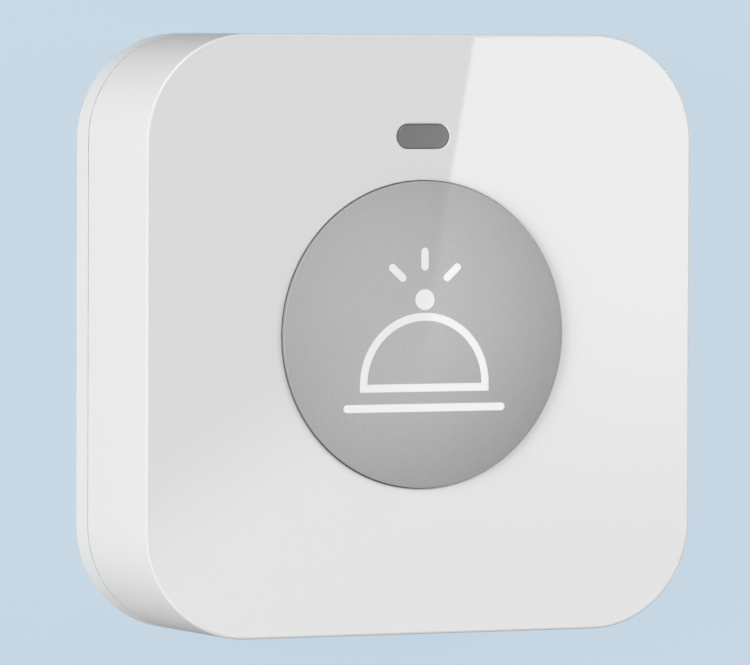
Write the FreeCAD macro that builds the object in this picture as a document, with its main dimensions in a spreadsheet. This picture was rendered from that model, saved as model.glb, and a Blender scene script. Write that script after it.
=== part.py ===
import FreeCAD, Part
import math
import os
import Sketcher
from types import SimpleNamespace

# Table-top call button. Millimetres. The origin is the centre of the plane that the feet rest on,
# +Z points out of the face and +Y points from the button to the indicator window.

sizes = {
    # Outer body
    "body_width": 60.0,
    "body_depth": 18.3,
    "corner_radius": 10.8,
    "edge_round": 0.45,
    "side_wall": 2.0,
    "face_wall": 2.2,
    # Rear cover, with the lip that goes inside the front cover
    "rear_depth": 3.5,
    "rear_floor": 2.0,
    "rear_bevel": 0.5,
    "seam_chamfer": 0.2,
    "lip_fit": 0.15,
    "lip_wall": 1.2,
    "lip_height": 1.5,
    "rib_wall": 1.0,
    "rib_height": 1.4,
    # Corner screws, their bosses and seats
    "boss_inset": 8.5,
    "boss_radius": 2.75,
    "seat_half": 3.3,
    "seat_rise": 1.6,
    "cover_shank": 1.0,
    "cover_length": 8.0,
    "cover_head": 1.9,
    "cover_head_height": 1.3,
    "pilot_fit": 0.06,
    "pilot_spare": 1.0,
    "hole_fit": 0.25,
    "head_fit": 0.3,
    # Feet
    "foot_radius": 4.0,
    "foot_sunk": 1.0,
    "foot_proud": 0.6,
    "foot_fit": 0.1,
    # Button cap and its well
    "button_radius": 15.3,
    "button_gap": 0.2,
    "button_proud": 0.55,
    "button_travel": 0.5,
    "button_bevel": 0.3,
    "cap_wall": 1.5,
    "skirt_wall": 1.1,
    "skirt_spare": 0.4,
    "post_radius": 2.0,
    "post_gap": 0.25,
    "well_wall": 1.5,
    "well_board_gap": 1.9,
    "well_floor": 1.4,
    "opening_radius": 4.8,
    "cap_rib_wall": 0.8,
    "cap_rib_height": 1.0,
    # Hooks that keep the cap in its well
    "hook_place": 10.0,
    "hook_wall": 1.2,
    "hook_width": 3.0,
    "hook_reach": 0.9,
    "hook_height": 0.85,
    "hook_lead": 0.35,
    "hook_fit": 0.15,
    "hook_flex": 0.4,
    "slot_fit": 0.2,
    # Return spring
    "spring_radius": 6.4,
    "spring_wire": 0.5,
    "spring_turns": 2.25,
    "spring_fit": 0.3,
    # Indicator window and lamp
    "window_offset": 4.5,
    "window_length": 5.8,
    "window_height": 2.5,
    "window_fit": 0.05,
    "window_flange": 0.9,
    "window_flange_depth": 0.8,
    "lamp_radius": 1.5,
    "lamp_flange": 1.9,
    "lamp_flange_height": 0.9,
    "lamp_gap": 0.4,
    "lead_width": 0.5,
    "lead_pitch": 2.54,
    "lead_tail": 1.0,
    "lead_fit": 0.2,
    # Circuit board on the rear cover's posts
    "board_edge_gap": 2.8,
    "board_thickness": 1.6,
    "board_clearance": 0.5,
    "post_height": 5.0,
    "board_post_half": 2.0,
    "board_post_inset": 3.2,
    "board_post_y": 9.0,
    "board_shank": 0.8,
    "board_screw_length": 5.5,
    "board_head": 1.6,
    "board_head_height": 1.1,
    # Push switch
    "switch_width": 6.0,
    "switch_height": 3.5,
    "switch_cover_wall": 0.3,
    "switch_cover_lap": 0.8,
    "switch_floor": 1.9,
    "switch_bore": 2.3,
    "plunger_radius": 1.7,
    "plunger_flange": 2.1,
    "plunger_flange_height": 0.6,
    "plunger_proud": 0.8,
    "plunger_travel": 0.3,
    "plunger_fit": 0.12,
    "dome_rest": 0.25,
    "dome_fit": 0.24,
    "dome_wall": 0.12,
    "dome_flat": 0.9,
    "dome_leg_half": 0.8,
    "leg_width": 0.7,
    "leg_wall": 0.3,
    "leg_out": 0.4,
    "leg_pitch": 4.5,
    "leg_level": 0.6,
    "leg_tail": 0.7,
    # Chips
    "radio_length": 4.9,
    "radio_width": 3.9,
    "radio_height": 1.4,
    "radio_lift": 0.1,
    "radio_inset": 4.6,
    "radio_place_y": 0.0,
    "radio_leg_pitch": 1.27,
    "radio_leg_width": 0.42,
    "radio_leg_wall": 0.25,
    "radio_leg_out": 1.0,
    "crystal_length": 11.0,
    "crystal_width": 4.6,
    "crystal_height": 3.4,
    "crystal_gap": 0.85,
    "chip_length": 2.0,
    "chip_width": 1.25,
    "chip_height": 0.6,
    "chip_row_x": 4.6,
    "chip_row_inset": 5.4,
    "chip_pitch": 2.6,
    # Antenna loop
    "loop_wall": 0.4,
    "loop_width": 1.2,
    "loop_end_gap": 0.7,
    "loop_height": 3.2,
    "loop_bend": 1.4,
    "loop_tail": 0.7,
    "loop_fit": 0.15,
    # Coin cell, its holder and contacts
    "cell_radius": 10.0,
    "cell_height": 3.2,
    "cell_cap_radius": 8.9,
    "cell_cap_height": 0.3,
    "cell_lift": 0.2,
    "holder_fit": 0.25,
    "holder_wall": 1.1,
    "holder_base": 1.0,
    "holder_clearance": 0.3,
    "holder_mouth": 5.0,
    "holder_window": 0.6,
    "contact_wall": 0.3,
    "plus_width": 4.0,
    "plus_tail": 2.2,
    "plus_fit": 0.05,
    "minus_width": 3.0,
    "minus_flat": 2.0,
    "minus_half": 6.0,
    # Battery door: a quarter-turn bayonet
    "door_bore": 11.55,
    "door_step": 14.4,
    "door_step_depth": 1.3,
    "door_fit": 0.2,
    "door_rim": 0.8,
    "door_centre": 1.8,
    "door_spigot_wall": 1.1,
    "door_spigot_fit": 0.15,
    "door_tab_reach": 12.3,
    "door_tab_half": 2.3,
    "door_tab_height": 0.8,
    "door_tab_gap": 0.15,
    "door_notch_fit": 0.25,
    "door_turn": 25.0,
    "door_stop_width": 1.2,
    "door_stop_length": 1.6,
    "door_stop_height": 0.9,
    "coin_slot_length": 14.0,
    "coin_slot_width": 2.2,
    "coin_slot_depth": 1.0,
    "door_seal_width": 1.2,
    "door_seal_fit": 0.05,
    # How far a cut runs past what it cuts
    "overrun": 1.0,
}

# Counts
boss_count = 2
cap_hook_count = 3
cap_rib_count = 6
door_tab_count = 3
floor_rib_count = 4
spring_side_count = 6
radio_leg_count = 4
board_screw_count = 2
chip_count = 3

doc = FreeCAD.newDocument("CallButton")
sheet = doc.addObject("Spreadsheet::Sheet", "Sizes")
for row, (alias, value) in enumerate(sizes.items(), start=1):
    sheet.set(f"A{row}", alias)
    sheet.set(f"B{row}", str(value))
    sheet.setAlias(f"B{row}", alias)
doc.recompute()


def text_of(value):
    return value.text if isinstance(value, Size) else repr(value)


def number_of(value):
    return value.number if isinstance(value, Size) else value


class Size:
    """A cell of the sheet, or a sum made of cells: its expression, and its number now."""

    def __init__(self, text, number):
        self.text = text
        self.number = number

    def __add__(self, other):
        return Size(f"({self.text} + {text_of(other)})", self.number + number_of(other))

    def __sub__(self, other):
        return Size(f"({self.text} - {text_of(other)})", self.number - number_of(other))

    def __mul__(self, other):
        return Size(f"({self.text} * {text_of(other)})", self.number * number_of(other))

    def __truediv__(self, other):
        return Size(f"({self.text} / {text_of(other)})", self.number / number_of(other))

    def __neg__(self):
        return Size(f"(0 - {self.text})", -self.number)


size = SimpleNamespace(**{name: Size(f"Sizes.{name}", value) for name, value in sizes.items()})

# Levels above the plane that the feet rest on, and the snap disc's height
back_face = size.foot_proud
seam = back_face + size.rear_depth
front_face = back_face + size.body_depth
inner_floor = back_face + size.rear_floor
inner_face = front_face - size.face_wall
boss_level = inner_floor + size.seat_rise
board_bottom = inner_floor + size.post_height
board_top = board_bottom + size.board_thickness
well_bottom = board_top + size.well_board_gap
well_top = well_bottom + size.well_floor
switch_top = board_top + size.switch_height
plunger_top = switch_top + size.plunger_proud
dome_height = size.plunger_travel + size.dome_rest
cap_inside = front_face + size.button_proud - size.cap_wall
tab_bottom = inner_floor + size.door_tab_gap
tab_top = tab_bottom + size.door_tab_height
holder_bottom = tab_top + size.holder_clearance
cell_bottom = back_face + size.door_centre + size.cell_lift
cell_top = cell_bottom + size.cell_height

# Half widths of the rounded squares, radii of the well, and places that follow them
outer_half = size.body_width / 2
inner_half = outer_half - size.side_wall
inner_corner = size.corner_radius - size.side_wall
lip_outer = inner_half - size.lip_fit
lip_inner = lip_outer - size.lip_wall
well_radius = size.button_radius + size.button_gap
cup_radius = well_radius + size.well_wall
boss_place = outer_half - size.boss_inset
window_place = size.button_radius + size.window_offset
board_half = inner_half - size.board_edge_gap
board_post_x = board_half - size.board_post_inset
loop_place = (cup_radius + inner_half) / 2
boss_clear = (size.boss_radius + size.board_clearance) * math.sqrt(2)
board_flat = boss_place + boss_place - boss_clear - board_half
loop_half = board_flat - size.loop_end_gap


def bind(owner, path, value):
    """Tie a property to the sheet."""
    if isinstance(value, Size):
        owner.setExpression(path, value.text)


def new_body(label, x=0, y=0, z=0):
    """A body whose origin is at the place given."""
    body = doc.addObject("PartDesign::Body", label)
    body.Label = label
    body.Placement.Base = FreeCAD.Vector(number_of(x), number_of(y), number_of(z))
    for axis, value in (("x", x), ("y", y), ("z", z)):
        bind(body, f"Placement.Base.{axis}", value)
    return body


def origin_part(body, role):
    return next(part for part in body.Origin.OriginFeatures if part.Role == role)


def new_sketch(body, name, plane="XY_Plane", x=0, y=0, lift=0, turn=0):
    """A sketch on one of the body's origin planes, moved in that plane, lifted off it and turned."""
    drawing = body.newObject("Sketcher::SketchObject", name)
    drawing.AttachmentSupport = [(origin_part(body, plane), "")]
    drawing.MapMode = "FlatFace"
    drawing.AttachmentOffset = FreeCAD.Placement(
        FreeCAD.Vector(number_of(x), number_of(y), number_of(lift)),
        FreeCAD.Rotation(FreeCAD.Vector(0, 0, 1), number_of(turn)),
    )
    for axis, value in (("x", x), ("y", y), ("z", lift)):
        bind(drawing, f"AttachmentOffset.Base.{axis}", value)
    bind(drawing, "AttachmentOffset.Rotation.Angle", turn)
    return drawing


def hold(drawing, kind, geometry, point, value):
    """Hold one point at a distance from the sketch's origin."""
    held = Sketcher.Constraint(kind, -1, 1, geometry, point, number_of(value))
    bind(drawing, f"Constraints[{drawing.addConstraint(held)}]", value)


def hold_point(drawing, geometry, point, place):
    hold(drawing, "DistanceX", geometry, point, place[0])
    hold(drawing, "DistanceY", geometry, point, place[1])


def vector(place):
    return FreeCAD.Vector(number_of(place[0]), number_of(place[1]), 0)


def draw_polygon(drawing, corners):
    """A closed outline of straight lines."""
    count = len(corners)
    first = drawing.GeometryCount
    for index, corner in enumerate(corners):
        drawing.addGeometry(Part.LineSegment(vector(corner), vector(corners[(index + 1) % count])))
    for index, corner in enumerate(corners):
        following = first + (index + 1) % count
        drawing.addConstraint(Sketcher.Constraint("Coincident", first + index, 2, following, 1))
        hold_point(drawing, first + index, 1, corner)


def draw_rectangle(drawing, left, low, right, high):
    draw_polygon(drawing, [(left, low), (right, low), (right, high), (left, high)])


def draw_circle(drawing, x, y, radius):
    circle = Part.Circle(vector((x, y)), FreeCAD.Vector(0, 0, 1), number_of(radius))
    index = drawing.addGeometry(circle)
    hold_point(drawing, index, 3, (x, y))
    held = Sketcher.Constraint("Radius", index, number_of(radius))
    bind(drawing, f"Constraints[{drawing.addConstraint(held)}]", radius)


def draw_rounded(drawing, half_x, half_y, radius, round_side=True):
    """A rectangle with round corners about the sketch's origin; without straight sides, an oblong."""
    inner_x = half_x - radius
    inner_y = half_y - radius if round_side else 0
    quarter = math.pi / 2
    corners = [(inner_x, inner_y), (-inner_x, inner_y)]
    starts = [0, quarter]
    sweep = quarter
    if round_side:
        corners += [(-inner_x, -inner_y), (inner_x, -inner_y)]
        starts += [2 * quarter, 3 * quarter]
    else:
        starts = [-quarter, quarter]
        sweep = 2 * quarter
    arcs = []
    for centre, start in zip(corners, starts):
        circle = Part.Circle(vector(centre), FreeCAD.Vector(0, 0, 1), number_of(radius))
        arcs.append(drawing.addGeometry(Part.ArcOfCircle(circle, start, start + sweep)))
    ends = []
    for centre, start in zip(corners, starts):
        for angle in (start, start + sweep):
            along_x = radius * round(math.cos(angle))
            along_y = radius * round(math.sin(angle))
            ends.append((along_x + centre[0], along_y + centre[1]))
    for index, arc in enumerate(arcs):
        following = (index + 1) % len(arcs)
        line = Part.LineSegment(vector(ends[2 * index + 1]), vector(ends[2 * following]))
        side = drawing.addGeometry(line)
        hold_point(drawing, side, 1, ends[2 * index + 1])
        hold_point(drawing, side, 2, ends[2 * following])
        drawing.addConstraint(Sketcher.Constraint("Coincident", arc, 2, side, 1))
        drawing.addConstraint(Sketcher.Constraint("Coincident", side, 2, arcs[following], 1))
    for index, arc in enumerate(arcs):
        hold(drawing, "DistanceX", arc, 3, corners[index][0])


last_volume = {}


def finish(body, feature, grows=True):
    """Recompute, and stop if the feature failed or changed the volume the wrong way."""
    before = last_volume.get(body.Label, 0)
    doc.recompute()
    if "Invalid" in feature.State or "Error" in feature.State or feature.Shape.isNull():
        raise RuntimeError(f"{body.Label}: {feature.Name} failed")
    change = feature.Shape.Volume - before
    if (change > 0) != grows or change == 0:
        raise RuntimeError(f"{body.Label}: {feature.Name} changes the volume by {change}")
    last_volume[body.Label] = feature.Shape.Volume
    body.Tip = feature
    return feature


def pad(body, drawing, length, middle=False, reverse=False):
    feature = body.newObject("PartDesign::Pad", f"{drawing.Name}_pad")
    feature.Profile = drawing
    feature.Length = number_of(length)
    feature.Midplane = middle
    feature.Reversed = reverse
    bind(feature, "Length", length)
    return finish(body, feature)


def pocket(body, drawing, length, reverse=False, middle=False):
    """A cut that runs down from its sketch, or up when reversed."""
    feature = body.newObject("PartDesign::Pocket", f"{drawing.Name}_pocket")
    feature.Profile = drawing
    feature.Length = number_of(length)
    feature.Midplane = middle
    feature.Reversed = reverse
    bind(feature, "Length", length)
    return finish(body, feature, grows=False)


def revolve(body, drawing):
    feature = body.newObject("PartDesign::Revolution", f"{drawing.Name}_revolution")
    feature.Profile = drawing
    feature.ReferenceAxis = (drawing, ["V_Axis"])
    feature.Angle = 360
    return finish(body, feature)


def revolved(body, name, corners, x=0, y=0):
    """A solid of revolution about an upright axis, from its half section."""
    drawing = new_sketch(body, name, "XZ_Plane", x=x, lift=y)
    draw_polygon(drawing, corners)
    return revolve(body, drawing)


def ring_of(body, name, features, count, grows=True):
    """Copies of features around the body's upright axis."""
    pattern = body.newObject("PartDesign::PolarPattern", name)
    pattern.Originals = features
    pattern.Axis = (origin_part(body, "Z_Axis"), [""])
    pattern.Angle = 360
    pattern.Occurrences = count
    body.Tip = pattern
    return finish(body, pattern, grows)


def four_of(body, name, features, grows=True):
    """Copies of features on both sides of the body's two upright planes."""
    pattern = body.newObject("PartDesign::MultiTransform", name)
    mirrors = []
    for plane in ("YZ_Plane", "XZ_Plane"):
        mirror = body.newObject("PartDesign::Mirrored", f"{name}_{plane}")
        mirror.MirrorPlane = (origin_part(body, plane), [""])
        mirrors.append(mirror)
    pattern.Originals = features
    pattern.Transformations = mirrors
    body.Tip = pattern
    return finish(body, pattern, grows)


def faces_at(feature, level):
    """Names of the flat faces at a height."""
    names = []
    for index, face in enumerate(feature.Shape.Faces, start=1):
        box = face.BoundBox
        if abs(box.ZMin - number_of(level)) < flat_error and box.ZLength < flat_error:
            names.append(f"Face{index}")
    return names


def fillet(body, name, base, faces, radius):
    feature = body.newObject("PartDesign::Fillet", name)
    feature.Base = (base, faces)
    feature.Radius = number_of(radius)
    bind(feature, "Radius", radius)
    return finish(body, feature, grows=False)


def chamfer(body, name, base, faces, width):
    feature = body.newObject("PartDesign::Chamfer", name)
    feature.Base = (base, faces)
    feature.Size = number_of(width)
    bind(feature, "Size", width)
    return finish(body, feature, grows=False)


flat_error = 1e-5


def make_front_cover():
    """Face and side wall in one moulding, open at the back, with the button's well and two bosses."""
    body = new_body("front_cover", z=seam)
    height = front_face - seam
    outline = new_sketch(body, "front_outline")
    draw_rounded(outline, outer_half, outer_half, size.corner_radius)
    block = pad(body, outline, height)
    fillet(body, "front_edge", block, faces_at(block, height), size.edge_round)
    inside = new_sketch(body, "front_inside")
    draw_rounded(inside, inner_half, inner_half, inner_corner)
    pocket(body, inside, height - size.face_wall, reverse=True)
    # Well: a cup that hangs from the face
    cup = new_sketch(body, "well_outside", lift=well_bottom - seam)
    draw_circle(cup, 0, 0, cup_radius)
    pad(body, cup, inner_face - well_bottom)
    # Hole for the indicator window
    window = new_sketch(body, "window_hole", y=window_place, lift=height)
    fit = size.window_fit
    window_half = size.window_height / 2 + fit
    draw_rounded(window, size.window_length / 2 + fit, window_half, window_half, round_side=False)
    pocket(body, window, size.face_wall + size.overrun)
    # Inside of the well, its centre opening and the hooks' slots
    well = new_sketch(body, "well_inside", lift=height)
    draw_circle(well, 0, 0, well_radius)
    pocket(body, well, front_face - well_top)
    opening = new_sketch(body, "switch_opening", lift=well_top - seam)
    draw_circle(opening, 0, 0, size.opening_radius)
    pocket(body, opening, size.well_floor + size.overrun)
    slot = new_sketch(body, "hook_slot", lift=well_top - seam)
    slot_half = size.hook_width / 2 + size.slot_fit
    slot_near = size.hook_place - size.hook_flex
    slot_far = size.hook_place + size.hook_wall + size.slot_fit
    draw_rectangle(slot, -slot_half, slot_near, slot_half, slot_far)
    first_slot = pocket(body, slot, size.well_floor + size.overrun)
    ring_of(body, "hook_slots", [first_slot], cap_hook_count, grows=False)
    # Two bosses in opposite corners, each tied to the side walls by two ribs
    place = boss_place
    boss = new_sketch(body, "boss", lift=boss_level - seam)
    draw_circle(boss, place, place, size.boss_radius)
    boss_pad = pad(body, boss, inner_face - boss_level)
    rib_level = size.lip_height + size.lip_fit
    rib = new_sketch(body, "boss_rib", lift=rib_level)
    half = size.rib_wall / 2
    start = place + size.rib_wall
    reach = inner_half + size.side_wall / 2
    draw_rectangle(rib, place - half, start, place + half, reach)
    draw_rectangle(rib, start, place - half, reach, place + half)
    rib_pad = pad(body, rib, inner_face - seam - rib_level)
    pilot = new_sketch(body, "pilot", lift=boss_level - seam)
    draw_circle(pilot, place, place, size.cover_shank + size.pilot_fit)
    pilot_depth = size.cover_length - (boss_level - screw_seat()) + size.pilot_spare
    pilot_pocket = pocket(body, pilot, pilot_depth, reverse=True)
    ring_of(body, "bosses", [boss_pad, rib_pad, pilot_pocket], boss_count)
    return body


def screw_seat():
    """Level of the face that the cover screws' heads press on."""
    return back_face + size.foot_sunk + size.cover_head_height + size.foot_fit


def make_rear_cover():
    """Back tray with a lip, board posts, screw seats, foot recesses and the battery door's bayonet."""
    body = new_body("rear_cover", z=back_face)
    depth = size.rear_depth
    floor = size.rear_floor
    outline = new_sketch(body, "rear_outline")
    draw_rounded(outline, outer_half, outer_half, size.corner_radius)
    block = pad(body, outline, depth)
    bevelled = chamfer(body, "rear_edge", block, faces_at(block, 0), size.rear_bevel)
    chamfer(body, "rear_seam", bevelled, faces_at(bevelled, depth), size.seam_chamfer)
    lip = new_sketch(body, "lip_outside", lift=depth)
    draw_rounded(lip, lip_outer, lip_outer, inner_corner - size.lip_fit)
    pad(body, lip, size.lip_height)
    inside = new_sketch(body, "rear_inside", lift=depth + size.lip_height)
    inside_corner = inner_corner - size.lip_fit - size.lip_wall
    draw_rounded(inside, lip_inner, lip_inner, inside_corner)
    pocket(body, inside, depth + size.lip_height - floor)
    # Seats under the bosses, with the screw holes and the feet's recesses
    place = boss_place
    seat = new_sketch(body, "seat", lift=floor)
    near = place - size.seat_half
    far = place + size.seat_half
    draw_rectangle(seat, near, near, far, far)
    seat_pad = pad(body, seat, size.seat_rise)
    recess = new_sketch(body, "foot_recess")
    draw_circle(recess, place, place, size.foot_radius + size.foot_fit)
    recess_pocket = pocket(body, recess, size.foot_sunk, reverse=True)
    head = new_sketch(body, "head_recess")
    draw_circle(head, place, place, size.cover_head + size.head_fit)
    head_pocket = pocket(body, head, screw_seat() - back_face, reverse=True)
    hole = new_sketch(body, "screw_hole")
    draw_circle(hole, place, place, size.cover_shank + size.hole_fit)
    hole_pocket = pocket(body, hole, boss_level - back_face + size.overrun, reverse=True)
    # Board posts
    post = new_sketch(body, "board_post", lift=floor)
    half = size.board_post_half
    draw_rectangle(post, board_post_x - half, size.board_post_y - half,
                   board_post_x + half, size.board_post_y + half)
    post_pad = pad(body, post, size.post_height)
    four_of(body, "foot_recesses", [recess_pocket, post_pad])
    ring_of(body, "screw_seats", [seat_pad, head_pocket, hole_pocket], boss_count)
    pilot = new_sketch(body, "board_pilot", lift=board_bottom - back_face)
    draw_circle(pilot, board_post_x, size.board_post_y, size.board_shank + size.pilot_fit)
    pilot_depth = size.board_screw_length - size.board_thickness + size.pilot_spare
    pilot_pocket = pocket(body, pilot, pilot_depth)
    ring_of(body, "board_pilots", [pilot_pocket], board_screw_count, grows=False)
    # Battery door opening: stops for the door's tabs, step, bore and notches
    stop = new_sketch(body, "door_stop", lift=floor, turn=-size.door_turn)
    stop_side = -(size.door_tab_half + size.door_notch_fit)
    stop_near = size.door_bore + size.door_notch_fit
    draw_rectangle(stop, stop_near, stop_side - size.door_stop_width,
                   stop_near + size.door_stop_length, stop_side)
    stop_pad = pad(body, stop, size.door_stop_height)
    ring_of(body, "door_stops", [stop_pad], door_tab_count)
    rib = new_sketch(body, "floor_rib", lift=floor)
    half = size.rib_wall / 2
    draw_rectangle(rib, size.door_step, -half, lip_inner + half, half)
    rib_pad = pad(body, rib, size.rib_height)
    ring_of(body, "floor_ribs", [rib_pad], floor_rib_count)
    step = new_sketch(body, "door_step")
    draw_circle(step, 0, 0, size.door_step)
    pocket(body, step, size.door_step_depth, reverse=True)
    bore = new_sketch(body, "door_bore")
    draw_circle(bore, 0, 0, size.door_bore)
    pocket(body, bore, floor + size.overrun, reverse=True)
    notch = new_sketch(body, "door_notch")
    notch_half = size.door_tab_half + size.door_notch_fit
    draw_rectangle(notch, 0, -notch_half, size.door_tab_reach + size.door_notch_fit, notch_half)
    notch_pocket = pocket(body, notch, floor + size.overrun, reverse=True)
    ring_of(body, "door_notches", [notch_pocket], door_tab_count, grows=False)
    return body


def screw_profile(head, head_height, shank, length):
    """Half section of a screw whose head's seat is at zero and whose shank points up."""
    return [(0, -head_height), (head, -head_height), (head, 0), (shank, 0), (shank, length), (0, length)]


def make_cover_screws():
    body = new_body("cover_screws", z=screw_seat())
    profile = screw_profile(size.cover_head, size.cover_head_height, size.cover_shank,
                            size.cover_length)
    screw = revolved(body, "cover_screw_profile", profile, x=boss_place, y=-boss_place)
    ring_of(body, "cover_screw_set", [screw], boss_count)
    return body


def make_board_screws():
    body = new_body("board_screws", z=board_top)
    profile = screw_profile(size.board_head, size.board_head_height, size.board_shank,
                            size.board_screw_length)
    downwards = [(radius, -level if isinstance(level, Size) else level) for radius, level in profile]
    screw = revolved(body, "board_screw_profile", downwards, x=board_post_x,
                     y=-size.board_post_y)
    ring_of(body, "board_screw_set", [screw], board_screw_count)
    return body


def make_rubber_feet():
    body = new_body("rubber_feet")
    height = size.foot_proud + size.foot_sunk
    radius = size.foot_radius
    place = boss_place
    profile = [(0, 0), (radius, 0), (radius, height), (0, height)]
    foot = revolved(body, "foot_profile", profile, x=place, y=-place)
    four_of(body, "feet", [foot])
    return body


def make_battery_door():
    """Round door with a coin slot, a spigot and three bayonet tabs."""
    body = new_body("battery_door", z=back_face)
    outer = size.door_step - size.door_fit
    spigot = size.door_bore - size.door_spigot_fit
    spigot_inner = spigot - size.door_spigot_wall
    rim = size.door_rim
    centre = size.door_centre
    top = tab_top - back_face
    revolved(body, "door_profile", [
        (0, 0), (outer, 0), (outer, rim), (spigot, rim), (spigot, top), (spigot_inner, top),
        (spigot_inner, centre), (0, centre),
    ])
    tab = new_sketch(body, "door_tab", lift=tab_bottom - back_face, turn=-size.door_turn)
    half = size.door_tab_half
    draw_rectangle(tab, spigot - size.door_spigot_wall / 2, -half, size.door_tab_reach, half)
    tab_pad = pad(body, tab, size.door_tab_height)
    ring_of(body, "door_tabs", [tab_pad], door_tab_count)
    slot = new_sketch(body, "coin_slot")
    slot_half = size.coin_slot_width / 2
    draw_rounded(slot, size.coin_slot_length / 2, slot_half, slot_half, round_side=False)
    pocket(body, slot, size.coin_slot_depth, reverse=True)
    return body


def make_door_seal():
    """Flat ring on the door's rim, under the step of the rear cover."""
    body = new_body("door_seal", z=back_face + size.door_rim)
    outer = size.door_step - size.door_fit
    drawing = new_sketch(body, "door_seal_ring")
    draw_circle(drawing, 0, 0, outer)
    draw_circle(drawing, 0, 0, outer - size.door_seal_width)
    pad(body, drawing, size.door_step_depth - size.door_rim - size.door_seal_fit)
    return body


def make_button_cap():
    """Round cap with a bevelled edge, a skirt, a centre post, stiffening ribs and three hooks."""
    body = new_body("button_cap", z=front_face)
    radius = size.button_radius
    proud = size.button_proud
    inside = cap_inside - front_face
    skirt_inner = radius - size.skirt_wall
    skirt_bottom = well_top + size.button_travel + size.skirt_spare - front_face
    rib_inner = size.spring_radius + size.spring_wire / 2 + size.spring_fit
    bevel = size.button_bevel
    revolved(body, "cap_profile", [
        (0, inside), (skirt_inner, inside), (skirt_inner, skirt_bottom), (radius, skirt_bottom),
        (radius, proud - bevel), (radius - bevel, proud), (0, proud),
    ])
    post = new_sketch(body, "cap_post", lift=inside)
    draw_circle(post, 0, 0, size.post_radius)
    pad(body, post, cap_inside - plunger_top - size.post_gap, reverse=True)
    # Ribs whose inner ends keep the spring centred
    rib = new_sketch(body, "cap_rib", lift=inside)
    half = size.cap_rib_wall / 2
    draw_rectangle(rib, rib_inner, -half, skirt_inner + half, half)
    rib_pad = pad(body, rib, size.cap_rib_height, reverse=True)
    ring_of(body, "cap_ribs", [rib_pad], cap_rib_count)
    # Hooks, drawn from the side and standing across the +Y slot
    hook = new_sketch(body, "cap_hook", "YZ_Plane")
    near = size.hook_place
    far = near + size.hook_wall
    tip = far + size.hook_reach
    catch = well_bottom - size.hook_fit - front_face
    foot = catch - size.hook_height
    draw_polygon(hook, [
        (near, inside + half), (near, foot), (far, foot), (tip, catch - size.hook_lead),
        (tip, catch), (far, catch), (far, inside + half),
    ])
    hook_pad = pad(body, hook, size.hook_width, middle=True)
    ring_of(body, "cap_hooks", [hook_pad], cap_hook_count)
    return body


def make_light_window():
    body = new_body("light_window", y=window_place, z=inner_face - size.window_flange_depth)
    half = size.window_height / 2
    flange = size.window_flange
    drawing = new_sketch(body, "window_flange")
    draw_rounded(drawing, size.window_length / 2 + flange, half + flange, half + flange,
                 round_side=False)
    pad(body, drawing, size.window_flange_depth)
    lens = new_sketch(body, "window_lens", lift=size.window_flange_depth)
    draw_rounded(lens, size.window_length / 2, half, half, round_side=False)
    pad(body, lens, size.face_wall)
    return body


def make_indicator_led():
    """Flat-topped round lamp with a flange, standing on the board under the window."""
    body = new_body("indicator_led", y=window_place, z=board_top)
    radius = size.lamp_radius
    top = inner_face - size.window_flange_depth - size.lamp_gap - board_top
    revolved(body, "lamp_profile", [
        (0, 0), (size.lamp_flange, 0), (size.lamp_flange, size.lamp_flange_height),
        (radius, size.lamp_flange_height), (radius, top), (0, top),
    ])
    return body


def make_led_leads():
    body = new_body("led_leads", y=window_place, z=board_top)
    half = size.lead_width / 2
    drawing = new_sketch(body, "lead")
    place = size.lead_pitch / 2
    draw_rectangle(drawing, place - half, -half, place + half, half)
    lead = pad(body, drawing, size.board_thickness + size.lead_tail, reverse=True)
    pair = body.newObject("PartDesign::Mirrored", "lead_pair")
    pair.Originals = [lead]
    pair.MirrorPlane = (origin_part(body, "YZ_Plane"), [""])
    finish(body, pair)
    return body


def make_circuit_board():
    """Eight-sided board that clears the corner bosses, with holes for what passes through it."""
    body = new_body("circuit_board", z=board_bottom)
    half = board_half
    flat = board_flat
    drawing = new_sketch(body, "board_outline")
    draw_polygon(drawing, [
        (half, -flat), (half, flat), (flat, half), (-flat, half),
        (-half, flat), (-half, -flat), (-flat, -half), (flat, -half),
    ])
    pad(body, drawing, size.board_thickness)
    screws = new_sketch(body, "screw_holes", lift=size.board_thickness)
    for side in (1, -1):
        place = (board_post_x * side, size.board_post_y * side)
        draw_circle(screws, *place, size.board_shank + size.hole_fit)
    pocket(body, screws, size.board_thickness + size.overrun)
    slots = new_sketch(body, "lead_slots", lift=size.board_thickness)
    leg_x = size.switch_width / 2 + size.leg_out - size.leg_wall / 2
    for side in (1, -1):
        for end in (1, -1):
            draw_slot(slots, leg_x * side, size.leg_pitch / 2 * end, size.leg_wall / 2,
                      size.leg_width / 2, size.lead_fit)
        draw_slot(slots, size.lead_pitch / 2 * side, window_place, size.lead_width / 2,
                  size.lead_width / 2, size.lead_fit)
        draw_slot(slots, (loop_half - size.loop_wall / 2) * side, -loop_place,
                  size.loop_wall / 2, size.loop_width / 2, size.loop_fit)
    pocket(body, slots, size.board_thickness + size.overrun)
    return body


def draw_slot(drawing, x, y, half_x, half_y, fit):
    """A square-cornered slot round a leg of the half sizes given, with a fit all round."""
    draw_rectangle(drawing, x - half_x - fit, y - half_y - fit, x + half_x + fit, y + half_y + fit)


def make_switch_base():
    body = new_body("switch_base", z=board_top)
    half = size.switch_width / 2
    drawing = new_sketch(body, "switch_outline")
    draw_rectangle(drawing, -half, -half, half, half)
    height = size.switch_height - size.switch_cover_wall
    pad(body, drawing, height)
    bore = new_sketch(body, "switch_bore", lift=height)
    draw_circle(bore, 0, 0, size.switch_bore)
    pocket(body, bore, height - size.switch_floor)
    return body


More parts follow.
